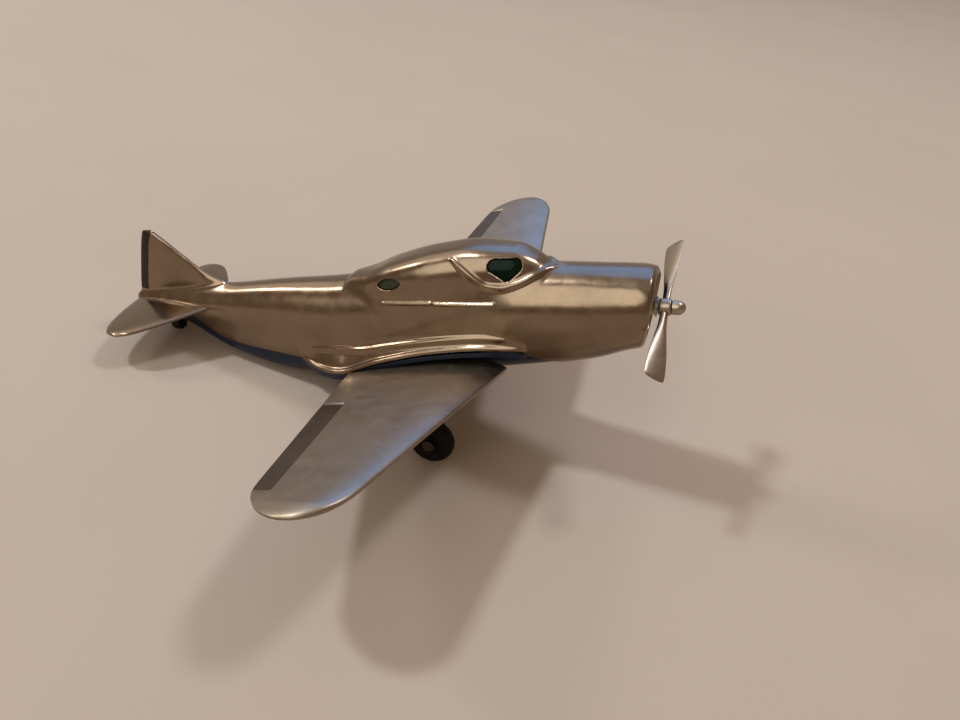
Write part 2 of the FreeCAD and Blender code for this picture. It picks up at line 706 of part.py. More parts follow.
def tail_wheel_fork():
    """Two cheeks under the plate, with the wheel's pin through them."""
    reach = TAIL_WIDTH / 2 + CHEEK_GAP
    cheeks = []
    for side in (1, -1):
        y = reach if side > 0 else -reach - CHEEK
        corner = V(TAIL_X - CHEEK_HALF, y, TAIL_Z)
        cheeks.append(Part.makeBox(2 * CHEEK_HALF, CHEEK, FORK_Z - TAIL_Z, corner))
        cheeks.append(rod(CHEEK_HALF, y, y + CHEEK, x=TAIL_X, z=TAIL_Z))
    return fork_plate().fuse(cheeks).cut(rod(TAIL_PIN_R, -5, 5, x=TAIL_X, z=TAIL_Z))


def tail_wheel():
    half = TAIL_WIDTH / 2
    wheel = rod(TAIL_R, -half, half, x=TAIL_X, z=TAIL_Z)
    wheel = wheel.makeFillet(0.3, [e for e in wheel.Edges if e.Curve.TypeId == "Part::GeomCircle"])
    return wheel.cut(rod(TAIL_PIN_R + RUNNING, -5, 5, x=TAIL_X, z=TAIL_Z))


def tail_wheel_pin():
    reach = TAIL_WIDTH / 2 + CHEEK_GAP + CHEEK
    return rod(TAIL_PIN_R, -reach, reach, x=TAIL_X, z=TAIL_Z)


def belly_screw(x):
    """Pan-head screw up through the chassis floor into the shell's post."""
    seat = floor_z(x) + SCREW_SUNK
    shank = Part.makeCylinder(SCREW_R, SCREW_LONG - 1.2, V(x, 0, seat))
    head = Part.makeCylinder(SCREW_HEAD_R, SCREW_HEAD, V(x, 0, seat - SCREW_HEAD))
    slot = Part.makeBox(3, 0.35, 0.3, V(x - 1.5, -0.175, seat - SCREW_HEAD - 0.01))
    return head.cut(slot).fuse(shank)


def place(shape):
    """From the flight frame to the standing model."""
    shape.rotate(V(0, 0, 0), V(0, 1, 0), -PITCH)
    shape.translate(V(-CENTRE_X, 0, -GROUND))
    return shape


def main():
    os.makedirs("parts", exist_ok=True)
    nodes = {
        "fuselage_shell": fuselage_shell(),
        "chassis": chassis(),
        "window_glazing": window_glazing(),
        "tailplane": stab_blank(),
        "engine_face": engine_face(),
        "prop_bush": prop_bush(),
        "prop_shaft": prop_shaft(),
        "shaft_clip": shaft_clip(),
        "thrust_washer": thrust_washer(),
        "propeller": propeller(),
        "spinner": spinner(),
        "tail_wheel_fork": tail_wheel_fork(),
        "tail_wheel": tail_wheel(),
        "tail_wheel_pin": tail_wheel_pin(),
    }
    for name, make in (("wing", wing), ("gear_leg", gear_leg), ("axle", axle),
                       ("tyre", tyre), ("wheel_hub", wheel_hub)):
        nodes[name + "_left"] = make()
        nodes[name + "_right"] = mirrored(make())
    for name, x in SCREWS.items():
        nodes[name] = belly_screw(x)
    for name, shape in nodes.items():
        solid = place(shape)
        box = solid.BoundBox
        print(f"{name:20s} solids {len(solid.Solids)} valid {solid.isValid()} volume {solid.Volume:8.1f}  "
              f"x {box.XMin:7.2f} {box.XMax:7.2f}  y {box.YMin:7.2f} {box.YMax:7.2f}  "
              f"z {box.ZMin:6.2f} {box.ZMax:6.2f}")
        solid.exportStep(f"parts/{name}.step")


main()
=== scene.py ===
import math

import bpy
import numpy as np
from mathutils import Matrix, Vector


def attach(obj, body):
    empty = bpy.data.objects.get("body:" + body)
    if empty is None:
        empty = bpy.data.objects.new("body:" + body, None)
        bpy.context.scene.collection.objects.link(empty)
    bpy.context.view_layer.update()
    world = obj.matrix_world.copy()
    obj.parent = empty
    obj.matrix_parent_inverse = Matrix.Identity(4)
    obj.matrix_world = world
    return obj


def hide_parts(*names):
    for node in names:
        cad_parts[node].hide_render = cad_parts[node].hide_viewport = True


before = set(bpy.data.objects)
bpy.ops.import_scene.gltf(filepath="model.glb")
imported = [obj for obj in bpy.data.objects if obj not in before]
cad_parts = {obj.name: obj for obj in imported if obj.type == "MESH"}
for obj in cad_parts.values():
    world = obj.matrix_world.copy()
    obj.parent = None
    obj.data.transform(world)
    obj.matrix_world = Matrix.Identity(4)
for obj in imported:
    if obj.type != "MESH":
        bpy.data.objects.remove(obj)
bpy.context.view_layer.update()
scene = bpy.context.scene
scene.view_settings.view_transform = "Standard"

# The pieces are drawn in millimetres in the plane's own level axes, as the CAD part is: +X nose, +Y left
# wing, +Z up. standing() turns them nose-up onto the wheels and into metres.
PITCH = math.radians(12.2)
DATUM = np.array([15.25, 0.0, 1.14])
THRUST_Z = 19.9

# Fuselage: x, top z, low z, half width, squareness of the lower half
BODY = [
    (29.8, 24.9, 14.9, 4.95, 2.2), (29.2, 25.3, 14.5, 5.35, 2.2), (27.6, 25.5, 14.2, 5.55, 2.2),
    (22.0, 25.4, 12.1, 5.75, 2.2), (15.0, 25.2, 10.4, 5.95, 2.2), (8.0, 25.0, 9.0, 6.05, 2.2),
    (0.0, 24.3, 7.5, 6.0, 2.2), (-9.0, 22.9, 6.2, 5.8, 2.3), (-18.0, 21.3, 5.6, 5.4, 2.7),
    (-28.0, 20.2, 5.9, 4.6, 3.3), (-38.0, 18.8, 7.9, 3.6, 3.4), (-47.0, 17.6, 11.7, 2.5, 2.6),
    (-54.0, 16.6, 13.7, 1.5, 2.2), (-57.0, 16.0, 14.7, 0.8, 2.2),
]
BODY_POWER = 2.2                                # squareness of the upper half
BODY_ENDS = (-57.0, 29.8)
RAKE, RAKE_Z, RAKE_COS = 0.16, 23.0, 0.987      # below RAKE_Z the cowl's front leans back

# Canopy hump: x, top z, half width
HUMP = [(16.0, 24.6, 2.4), (13.6, 26.6, 3.5), (10.5, 27.8, 4.3), (5.5, 28.0, 4.9), (-1.0, 27.0, 5.0),
        (-8.0, 24.9, 4.5), (-12.0, 23.2, 3.4), (-15.0, 22.2, 2.1)]
HUMP_MID, HUMP_POWER = 20.5, 3.0
HUMP_ENDS = (-15.0, 16.0)

# Line between the casting and the tray: x, z
PARTING = [(36.0, 8.0), (23.0, 11.7), (17.5, 12.0), (13.6, 13.4), (10.5, 14.4), (4.0, 13.8), (-3.0, 12.7),
           (-10.0, 10.9), (-17.0, 8.9), (-22.0, 9.1), (-27.0, 9.5), (-31.5, 9.8), (-36.0, 10.2),
           (-39.5, 10.9), (-42.0, 12.4), (-44.5, 13.9), (-48.0, 14.8), (-53.0, 15.0), (-62.0, 15.0)]

# Wing-root fairing: x, reach in y, lip z, top z
FAIRING = [(12.6, 6.0, 14.5, 15.5), (7.7, 6.8, 14.6, 16.4), (-0.2, 7.3, 13.7, 15.8), (-9.4, 7.9, 11.4, 13.9),
           (-16.0, 8.2, 9.1, 12.5), (-20.0, 7.1, 8.8, 12.0), (-24.5, 4.9, 9.6, 11.6)]
FAIRING_ENDS = (-24.5, 12.6)
FAIRING_POWER = 1.6                             # how hollow its slope is
LIP = 0.45                                      # height of its outer edge

# Fin: z, front x, back x, thickness
FIN = [(15.6, -34.0, -56.6, 1.8), (18.3, -37.0, -55.8, 1.7), (20.3, -41.6, -55.1, 1.5),
       (23.0, -45.0, -54.1, 1.3), (25.6, -48.0, -53.1, 1.1), (27.1, -49.9, -52.4, 0.8)]
FIN_ENDS = (15.2, 27.5)

# Front side window: x, z of its corners. Rear one: x, z of its middle, half length, half height, tilt in
# degrees
PANE = [(10.2, 23.95), (12.35, 25.75), (11.9, 27.0), (7.8, 27.0), (7.35, 25.75)]
REAR_PANE = (-7.4, 22.7, 1.9, 0.8, 12.0)

# Raised lines: the sills as x, z to x, z in side view, the canopy's rim and the shoulder as x, y, z
SILL = [(-8.4, 20.0, -0.8, 20.72), (-0.2, 20.66, 8.5, 21.2)]
RIM = [(2.4, 3.0, 26.2), (4.0, 3.7, 25.5), (6.0, 4.2, 24.25), (7.5, 4.4, 23.5), (9.3, 4.3, 23.3),
       (11.6, 3.8, 23.8), (13.8, 2.75, 24.65), (15.5, 1.3, 25.1), (17.0, 0.2, 25.25)]
SHOULDER = [(-21.5, 5.2, 11.45), (-17.5, 5.5, 11.9), (-12.7, 5.9, 12.3), (-7.8, 6.05, 13.5),
            (0.0, 6.2, 15.25), (4.2, 6.2, 15.95), (7.4, 6.15, 16.25), (10.0, 6.1, 16.25)]
SILL_R, BEAD_R = 0.25, 0.30
BEAD_REACH, BEAD_FAR, BEAD_EASE = 1.2, 3.0, 0.22

# Hollows of the casting
WALL = 1.0
CABIN_HALF, CABIN_FLOOR = 14.2, 21.0
BORE_R, BORE_BACK = 4.45, 26.2
WINDOW_Y = 1.4                                  # the windows are cut from this far out
CASTING_UNDER, TRAY_OVER = 0.1, 0.05            # how far each goes past the line between them


def pitched(vectors):
    """Directions from the level axes to the row frame."""
    x, y, z = np.asarray(vectors, float).T
    c, s = math.cos(PITCH), math.sin(PITCH)
    return np.stack([x * c - z * s, y, x * s + z * c], 1)


def standing(points):
    """Points from the level axes in millimetres to the row frame in metres."""
    return (pitched(points) + DATUM) * 0.001


def curve(rows, column):
    """A monotone smooth curve through one column of a table, against its first column."""
    t = np.array(rows, float)
    t = t[np.argsort(t[:, 0])]
    x, v = t[:, 0], t[:, column]
    steep = np.diff(v) / np.diff(x)
    before, after = np.concatenate([steep[:1], steep]), np.concatenate([steep, steep[-1:]])
    both = before + after
    slope = np.where(before * after > 0, 2 * before * after / np.where(both == 0, 1, both), 0.0)

    def at(q):
        q = np.clip(q, x[0], x[-1])
        i = np.clip(np.searchsorted(x, q, side="right") - 1, 0, len(x) - 2)
        span = x[i + 1] - x[i]
        u = (q - x[i]) / span
        return (v[i] * (1 + 2 * u) * (1 - u) ** 2 + slope[i] * span * u * (1 - u) ** 2
                + v[i + 1] * u * u * (3 - 2 * u) + slope[i + 1] * span * u * u * (u - 1))

    return at


body_top, body_low, body_half, body_square = (curve(BODY, i) for i in (1, 2, 3, 4))
hump_top, hump_half = curve(HUMP, 1), curve(HUMP, 2)
parting_z = curve(PARTING, 1)
fair_reach, fair_lip, fair_top = (curve(FAIRING, i) for i in (1, 2, 3))
fin_front, fin_back, fin_thick = (curve(FIN, i) for i in (1, 2, 3))


# Distance fields, in millimetres, negative inside

def joined(a, b, k):
    """Union with a fillet about k wide."""
    h = np.clip(0.5 + 0.5 * (b - a) / k, 0, 1)
    return b + (a - b) * h - k * h * (1 - h)


def both_of(a, b, k):
    """Intersection with a rounded edge."""
    return -joined(-a, -b, k)


def oval(y, z, half, tall, power):
    """Radial distance from a squared oval about the origin."""
    size = (np.abs(y / half) ** power + np.abs(z / tall) ** power) ** (1 / power) + 1e-6
    far = np.hypot(y, z) + 1e-9
    return far - np.where(size < 1e-3, np.minimum(half, tall), far / size)


def from_line(u, w, line):
    """Distance in a plane from a straight line between two points."""
    u0, w0, u1, w1 = line
    du, dw = u1 - u0, w1 - w0
    t = np.clip(((u - u0) * du + (w - w0) * dw) / (du * du + dw * dw), 0, 1)
    return np.hypot(u - u0 - t * du, w - w0 - t * dw)


def body_sizes(x):
    """Middle z, half height and half width of the fuselage."""
    top, low = body_top(x), body_low(x)
    return (top + low) / 2, (top - low) / 2, body_half(x)


def cowl_front(x, z, at):
    """The cowl's front plane: upright at this x, and raked below RAKE_Z."""
    return (x - at + RAKE * np.maximum(0.0, RAKE_Z - z)) * RAKE_COS


def body_field(x, y, z):
    mid, tall, half = body_sizes(x)
    body = oval(y, z - mid, half, tall, np.where(z > mid, BODY_POWER, body_square(x)))
    return both_of(both_of(body, cowl_front(x, z, BODY_ENDS[1]), 0.8), BODY_ENDS[0] - x, 0.8)


def hump_field(x, y, z):
    hump = oval(y, z - HUMP_MID, hump_half(x), np.maximum(hump_top(x) - HUMP_MID, 0.6), HUMP_POWER)
    return both_of(both_of(hump, x - HUMP_ENDS[1], 0.5), HUMP_ENDS[0] - x, 0.35)


def fairing_fields(x, y, z):
    """The hollow slope from the fuselage's side to the lip over the wing root, and the bead on the lip."""
    mid, tall, half = body_sizes(x)
    reach, lip, top = fair_reach(x), fair_lip(x), fair_top(x)
    side = half * np.maximum(0, 1 - (np.abs(top - mid) / tall) ** BODY_POWER) ** (1 / BODY_POWER)
    wide = np.maximum(reach - side, 0.35)
    u = np.clip((y - side) / wide, 0, 1)
    drop = top - lip - LIP
    steep = FAIRING_POWER * (1 - u) ** (FAIRING_POWER - 1) * drop / wide
    shelf = (z - lip - LIP - drop * (1 - u) ** FAIRING_POWER) / np.sqrt(1 + steep ** 2)
    shelf = both_of(both_of(shelf, y - reach, 0.25), lip - z, 0.25)
    bead = np.hypot(y - reach + 0.28, z - lip - 0.34) - 0.32
    ends = np.maximum(x - FAIRING_ENDS[1], FAIRING_ENDS[0] - x)
    return both_of(shelf, ends, 0.4), both_of(bead, ends, 0.4)


def fin_field(x, y, z):
    front, back, thick = fin_front(z), fin_back(z), fin_thick(z)
    a, b, along = (front - back) / 2, thick / 2, x - (front + back) / 2
    blade = ((along / a) ** 2 + (y / b) ** 2 - 1) / (2 * np.hypot(along / a ** 2, y / b ** 2) + 1e-3)
    return both_of(both_of(np.maximum(blade, -b), z - FIN_ENDS[1], 0.6), FIN_ENDS[0] - z, 0.3)


def skin_field(x, y, z):
    """The plane's outer body: fuselage, canopy hump, wing-root fairings and fin."""
    y = np.abs(y)
    skin = joined(body_field(x, y, z), hump_field(x, y, z), 1.2)
    shelf, bead = fairing_fields(x, y, z)
    skin = joined(joined(skin, shelf, 0.5), bead, 0.25)
    return joined(skin, fin_field(x, y, z), 0.9)


def pane_outline(x, z, grow=0.0):
    """The front side window in side view: a shield, pointed downwards."""
    out = None
    for (x0, z0), (x1, z1) in zip(PANE, PANE[1:] + PANE[:1]):
        long = math.hypot(x1 - x0, z1 - z0)
        edge = ((x - x0) * (z1 - z0) - (z - z0) * (x1 - x0)) / long
        out = edge if out is None else both_of(out, edge, 0.7)
    return out - grow


def rear_outline(x, z, grow=0.0):
    """The small rear quarter window in side view."""
    cx, cz, long, tall, tilt = REAR_PANE
    c, s = math.cos(math.radians(tilt)), math.sin(math.radians(tilt))
    return oval((x - cx) * c + (z - cz) * s, (z - cz) * c - (x - cx) * s, long + grow, tall + grow, 1.8)


def drawn_on_skin(points, count=36):
    """A smooth path through points near the skin, moved onto it."""
    t = np.linspace(0, len(points) - 1, count)
    rows = [(i, *p) for i, p in enumerate(points)]
    p = np.stack([curve(rows, i)(t) for i in (1, 2, 3)], 1)
    for _ in range(4):
        g = gradient(skin_field, p)
        p = p - skin_field(*p.T)[:, None] * g / (g ** 2).sum(1)[:, None]
    return p


def tube(x, y, z, path, radius):
    """Distance from a round bead along a path, thinner towards its ends: BEAD_FAR away from it."""
    x, y, z = np.broadcast_arrays(x, np.abs(y), z)
    low, high = path.min(0) - BEAD_REACH, path.max(0) + BEAD_REACH
    near = ((x > low[0]) & (x < high[0]) & (y > low[1]) & (y < high[1]) & (z > low[2]) & (z < high[2]))
    out = np.full(x.shape, BEAD_FAR)
    p = np.stack([x[near], y[near], z[near]], 1)
    best = np.full(len(p), BEAD_FAR)
    for i, (a, b) in enumerate(zip(path, path[1:])):
        t = np.clip(((p - a) @ (b - a)) / ((b - a) @ (b - a)), 0, 1)
        share = (i + t) / (len(path) - 1)
        ease = np.clip(np.minimum(share, 1 - share) / BEAD_EASE, 0, 1)
        size = radius * np.sin(math.pi / 2 * ease) - 0.05
        best = np.minimum(best, np.linalg.norm(p - a - t[:, None] * (b - a), axis=1) - size)
    out[near] = best
    return out


def shell_field(x, y, z):
    """The polished casting with its windows, raised lines, cabin, cowl bore and lower edge."""
    skin = skin_field(x, y, z)
    cabin = np.maximum(skin + WALL, np.maximum(np.abs(x) - CABIN_HALF, CABIN_FLOOR - z))
    for line in SILL:
        skin = joined(skin, np.hypot(from_line(x, z, line), skin) - SILL_R, 0.15)
    skin = joined(skin, tube(x, y, z, RIM_PATH, BEAD_R), 0.6)
    skin = joined(skin, tube(x, y, z, SHOULDER_PATH, BEAD_R), 0.7)
    for outline in (pane_outline, rear_outline):
        skin = both_of(skin, -np.maximum(outline(x, z), WINDOW_Y - np.abs(y)), 0.12)
    bore = np.maximum(np.hypot(y, z - THRUST_Z) - BORE_R, BORE_BACK - x)
    skin = both_of(both_of(skin, -bore, 0.35), -cabin, 0.05)
    return both_of(skin, parting_z(x) - CASTING_UNDER - z, 0.12)


def gradient(field, p, eps=0.02):
    """The field's slope at points, by differences."""
    out = np.empty_like(p)
    for i in range(3):
        a, b = p.copy(), p.copy()
        a[:, i] += eps
        b[:, i] -= eps
        out[:, i] = (field(*a.T) - field(*b.T)) / (2 * eps)
    return out


RIM_PATH, SHOULDER_PATH = drawn_on_skin(RIM), drawn_on_skin(SHOULDER)


def sampled(field, low, high, step, ratio):
    """The field on a grid, exact near the surface and the same over blocks of ratio cells away from it."""
    cells = np.ceil((np.array(high) - low) / (step * ratio)).astype(int) + 1
    axes = [low[i] + step * ratio * np.arange(cells[i]) + step * (ratio - 1) / 2 for i in range(3)]
    coarse = np.broadcast_to(field(*np.ix_(*axes)), cells)
    near = np.argwhere(np.abs(coarse) < step * ratio * 1.9)
    values = np.repeat(np.repeat(np.repeat(coarse, ratio, 0), ratio, 1), ratio, 2).astype(np.float32)
    for offset in np.ndindex(ratio, ratio, ratio):
        at = near * ratio + offset
        values[tuple(at.T)] = field(*(low + at * step).T)
    return values


def crossings(values):
    """For each axis: a quad of cell numbers round each grid edge that the surface crosses, and where."""
    stride = np.array([values.shape[1] * values.shape[2], values.shape[2], 1])
    quads, places = [], []
    for axis in range(3):
        n = values.shape[axis]
        a, b = np.take(values, range(n - 1), axis), np.take(values, range(1, n), axis)
        at = np.argwhere((a < 0) != (b < 0))
        va, vb = a[tuple(at.T)], b[tuple(at.T)]
        place = at.astype(float)
        place[:, axis] += va / (va - vb)
        s, t = stride[(axis + 1) % 3], stride[(axis + 2) % 3]
        cell = at @ stride
        quad = np.stack([cell - s - t, cell - t, cell, cell - s], 1)
        quad[va >= 0] = quad[va >= 0][:, ::-1]
        quads.append(quad)
        places.append(place)
    return quads, places


def net(field, low, high, step, ratio=4):
    """A quad mesh of the surface where field is 0, and its normals: surface nets, with every vertex then
    moved onto the surface."""
    low = np.array(low, float)
    quads, places = crossings(sampled(field, low, high, step, ratio))
    ids = np.concatenate([quad.T.ravel() for quad in quads])
    sums = np.concatenate([np.tile(place, (4, 1)) for place in places])
    used, index = np.unique(ids, return_inverse=True)
    count = np.bincount(index)
    p = np.stack([np.bincount(index, sums[:, i]) / count for i in range(3)], 1) * step + low
    faces = np.searchsorted(used, np.concatenate(quads))
    start = p.copy()
    for _ in range(4):
        g = gradient(field, p)
        move = field(*p.T)[:, None] * g / np.maximum((g ** 2).sum(1), 0.05)[:, None]
        p = p - np.clip(move, -0.4 * step, 0.4 * step)
        p = np.clip(p, start - 0.9 * step, start + 0.9 * step)
    g = gradient(field, p)
    return p, faces, g / np.maximum(np.linalg.norm(g, axis=1), 1e-6)[:, None]


def add_mesh(name, points, faces, normals=None, sharp=40.0):
    """A mesh object from level millimetre points."""
    mesh = bpy.data.meshes.new(name)
    mesh.from_pydata(standing(points).tolist(), [], [list(map(int, f)) for f in faces])
    mesh.validate()
    mesh.shade_smooth()
    if normals is not None and len(mesh.vertices) == len(points):
        mesh.normals_split_custom_set_from_vertices(pitched(normals).tolist())
    else:
        mesh.set_sharp_from_angle(angle=math.radians(sharp))
    obj = bpy.data.objects.new(name, mesh)
    scene.collection.objects.link(obj)
    return obj


def field_piece(name, field, low, high, step):
    """A mesh object of the surface where a field is 0."""
    points, faces, normals = net(field, low, high, step)
    return add_mesh(name, points, faces, normals)


def ring_mesh(rings, flip=False):
    """Points and faces of a closed body through rings (n, m, 3), with a middle point closing each end."""
    n, m, _ = rings.shape
    points = np.concatenate([rings.reshape(-1, 3), rings[0].mean(0)[None], rings[-1].mean(0)[None]])
    faces = []
    for i in range(n - 1):
        for j in range(m):
            k = (j + 1) % m
            faces.append((i * m + j, i * m + k, (i + 1) * m + k, (i + 1) * m + j))
    for j in range(m):
        k = (j + 1) % m
        faces.append((n * m, k, j))
        faces.append((n * m + 1, (n - 1) * m + j, (n - 1) * m + k))
    return points, [f[::-1] for f in faces] if flip else faces


def merge(*parts):
    """One part from several, each with its points and faces."""
    points, faces, start = [], [], 0
    for p, f in parts:
        points.append(np.asarray(p))
        faces += [tuple(i + start for i in face) for face in f]
        start += len(p)
    return np.concatenate(points), faces


def mirrored(part):
    """The part on the other side of the plane."""
    points, faces = part
    return points * (1, -1, 1), [f[::-1] for f in faces]


def softened(profile, radius, steps=5):
    """A closed profile with its corners rounded; radius is one number or one for each corner."""
    pts = np.array(profile, float)
    radii = np.broadcast_to(radius, len(pts))
    out = []
    for i in range(len(pts)):
        here, before, after = pts[i], pts[i - 1], pts[(i + 1) % len(pts)]
        a, b = before - here, after - here
        la, lb = np.linalg.norm(a), np.linalg.norm(b)
        a, b = a / la, b / lb
        r = min(radii[i], 0.48 * la, 0.48 * lb)
        if r < 1e-3:
            out.append(here)
            continue
        for t in np.linspace(0, 1, steps):
            out.append((1 - t) ** 2 * (here + a * r) + 2 * t * (1 - t) * here + t * t * (here + b * r))
    return np.array(out)


def lathe(profile, centre, axis, around=96):
    """A closed profile of (along, radius) pairs turned about a line; axis is x or y."""
    pts = np.asarray(profile, float)
    a = np.linspace(0, math.tau, around, endpoint=False)
    along, r = pts[:, 0][:, None] + 0 * a, pts[:, 1][:, None]
    if axis == "x":
        grid = np.stack([along, r * np.cos(a), r * np.sin(a)], 2)
    else:
        grid = np.stack([r * np.sin(a), along, r * np.cos(a)], 2)
    n, m = grid.shape[:2]
    faces = []
    for i in range(n):
        for j in range(m):
            k, l = (i + 1) % n, (j + 1) % m
            faces.append((i * m + j, i * m + l, k * m + l, k * m + j))
    points = grid.reshape(-1, 3) + np.array(centre)
    turn = 0.0
    for i in range(n):
        p, q = pts[i], pts[(i + 1) % n]
        turn += p[0] * q[1] - q[0] * p[1]
    return points, [f[::-1] for f in faces] if turn > 0 else faces


# Materials

def add_node(tree, kind, inputs=(), **settings):
    """A new node; each input is a value, or the socket it comes from."""
    made = tree.nodes.new(kind)
    for key, value in settings.items():
        setattr(made, key, value)
    for key, value in dict(inputs).items():
        if isinstance(value, bpy.types.NodeSocket):
            tree.links.new(value, made.inputs[key])
        else:
            made.inputs[key].default_value = value
    return made


class Shader:
    """A small helper for building one node material."""

    def __init__(self, name):
        self.material = bpy.data.materials.new(name)
        self.material.use_nodes = True
        self.tree = self.material.node_tree
        self.bsdf = self.tree.nodes["Principled BSDF"]
        self.where = self.node("ShaderNodeTexCoord").outputs["Object"]

    def node(self, kind, inputs=(), **settings):
        return add_node(self.tree, kind, inputs, **settings)

    def set(self, **values):
        for key, value in values.items():
            socket = self.bsdf.inputs[key.replace("_", " ")]
            if isinstance(value, bpy.types.NodeSocket):
                self.tree.links.new(value, socket)
            else:
                socket.default_value = value
        return self

    def noise(self, scale, detail=4.0, rough=0.55, stretch=(1, 1, 1), turn=(0, 0, 0)):
        """Noise whose features are about 1/scale metres across."""
        place = self.node("ShaderNodeMapping", {"Vector": self.where, "Rotation": turn, "Scale": stretch})
        made = self.node("ShaderNodeTexNoise", {"Vector": place.outputs[0], "Scale": scale, "Detail": detail,
                                                "Roughness": rough})
        return made.outputs["Fac"]

    def remap(self, value, low, high, out_low, out_high):
        made = self.node("ShaderNodeMapRange", {"Value": value, "From Min": low, "From Max": high,
                                                "To Min": out_low, "To Max": out_high})
        return made.outputs[0]

    def mix(self, share, a, b):
        made = self.node("ShaderNodeMix", data_type="RGBA")
        for socket, value in ((made.inputs[0], share), (made.inputs[6], a), (made.inputs[7], b)):
            if isinstance(value, bpy.types.NodeSocket):
                self.tree.links.new(value, socket)
            else:
                socket.default_value = value if isinstance(value, float) else (*value, 1.0)
        return made.outputs[2]

    def maths(self, kind, a, b):
        return self.node("ShaderNodeMath", {0: a, 1: b}, operation=kind).outputs[0]

    def bump(self, height, strength, distance, under=None):
        inputs = {"Height": height, "Strength": strength, "Distance": distance}
        if under is not None:
            inputs["Normal"] = under
        return self.node("ShaderNodeBump", inputs).outputs[0]

    def crevice(self, distance):
        """1 in the open and less where other surfaces are close."""
        return self.node("ShaderNodeAmbientOcclusion", {"Distance": distance}, samples=6).outputs["AO"]


def cast_metal(name, base, shade_and_dirt, rough, wave=0.35):
    """Polished casting: soft ripples left by hand polishing, fine scratches, dark specks of dirt, and
    painted shade that darkens the colour in the corners.
    """
    s = Shader(name)
    cloud = s.remap(s.noise(240, 5, 0.6), 0.38, 0.66, 0.0, 1.0)
    tint = s.mix(cloud, base, tuple(0.86 * a for a in base))
    # Painted shade: the colour darkens in corners and crevices, where other surfaces are close, and these
    # are rougher too; the small specks are dirt.
    crevice_shade = s.remap(s.crevice(0.0016), 0.35, 0.85, 1.0, 0.0)
    speck = s.remap(s.noise(2600, 3, 0.5), 0.66, 0.74, 0.0, 0.35)
    s.set(Base_Color=s.mix(s.maths("MAXIMUM", crevice_shade, speck), tint, shade_and_dirt))
    lines = s.maths("MULTIPLY", s.noise(900, 6, 0.7, (0.25, 6, 6)),
                    s.noise(1100, 6, 0.7, (6, 0.3, 6), (0, 0, 0.5)))
    haze = s.remap(s.noise(500, 4, 0.6), 0.35, 0.7, rough - 0.04, rough + 0.06)
    s.set(Roughness=s.maths("ADD", haze, s.remap(crevice_shade, 0.0, 1.0, 0.0, 0.2)))
    ripple = s.bump(s.noise(330, 2, 0.4), wave, 0.00012)
    s.set(Normal=s.bump(lines, 0.10, 0.00004, ripple), Metallic=1.0)
    return s.material


def moulded(name, base, rough, grain=900, strength=0.15, worn=None, gloss=0.5):
    """Moulded or painted finish with a fine grain, and wear where the edges stand proud."""
    s = Shader(name)
    cloud = s.remap(s.noise(300, 4, 0.6), 0.35, 0.7, 0.0, 1.0)
    colour = s.mix(cloud, base, tuple(0.7 * a for a in base))
    if worn:
        sharp = s.node("ShaderNodeNewGeometry").outputs["Pointiness"]
        edge = s.maths("MULTIPLY", s.remap(sharp, 0.53, 0.62, 0.0, 0.8),
                       s.remap(s.noise(1300), 0.4, 0.6, 0.0, 1.0))
        colour = s.mix(edge, colour, worn)
    s.set(Base_Color=colour, Roughness=s.remap(s.noise(700, 5, 0.6), 0.3, 0.7, rough - 0.06, rough + 0.08))
    s.set(Normal=s.bump(s.noise(grain, 4, 0.6), strength, 0.00005), Specular_IOR_Level=gloss)
    return s.material


def turned_metal(name, base, rough):
    """Machined metal with fine tool lines."""
    s = Shader(name)
    lines = s.noise(2500, 3, 0.6, (8, 1, 1))
    s.set(Base_Color=s.mix(s.remap(s.noise(800), 0.4, 0.65, 0.0, 1.0), base, tuple(0.75 * a for a in base)),
          Roughness=s.remap(lines, 0.3, 0.7, rough - 0.05, rough + 0.08), Metallic=1.0,
          Normal=s.bump(lines, 0.2, 0.00003))
    return s.material


def tinted_pane(name):
    """Dark green moulded glazing that passes a little light, with polishing marks."""
    s = Shader(name)
    cloud = s.remap(s.noise(400, 3), 0.35, 0.65, 0.0, 1.0)
    clear = s.mix(cloud, (0.004, 0.016, 0.009), (0.002, 0.009, 0.005))
    s.set(Base_Color=clear, Roughness=s.remap(s.noise(900, 5, 0.7), 0.3, 0.7, 0.05, 0.14),
          Transmission_Weight=0.05, IOR=1.45, Specular_IOR_Level=0.08,
          Normal=s.bump(s.noise(450, 3), 0.15, 0.00004))
    return s.material


METAL = (0.265, 0.193, 0.133)
polished = cast_metal("polished_casting", METAL, (0.09, 0.062, 0.038), 0.19)
satin = cast_metal("satin_casting", (0.325, 0.262, 0.198), (0.09, 0.065, 0.042), 0.40, 0.2)
# Painted shade: darker copies of the casting for the aileron tops, the inside of the cabin and cowl bore,
# and the band along the fin's trailing edge, where shade falls.
aileron_shade = cast_metal("aileron_shade_casting", (0.13, 0.10, 0.075), (0.05, 0.035, 0.022), 0.34, 0.2)
inside = cast_metal("inside_shade_casting", (0.02, 0.017, 0.014), (0.008, 0.006, 0.005), 0.6)
rudder = cast_metal("rudder_shade_casting", (0.045, 0.036, 0.028), (0.02, 0.016, 0.012), 0.42)
blade_metal = cast_metal("blade_metal", (0.40, 0.325, 0.25), (0.12, 0.085, 0.055), 0.34, 0.2)
navy = moulded("navy_tray", (0.005, 0.013, 0.034), 0.30, 700, 0.12, (0.03, 0.045, 0.075), 0.3)
black = moulded("black_enamel", (0.008, 0.007, 0.007), 0.34, 800, 0.2, (0.10, 0.085, 0.07), 0.3)
engine_black = moulded("engine_black", (0.012, 0.011, 0.011), 0.5, 1200, 0.25, (0.10, 0.09, 0.08), 0.3)
wheel_black = moulded("wheel_plastic", (0.010, 0.008, 0.007), 0.42, 1100, 0.2, (0.03, 0.027, 0.024), 0.2)
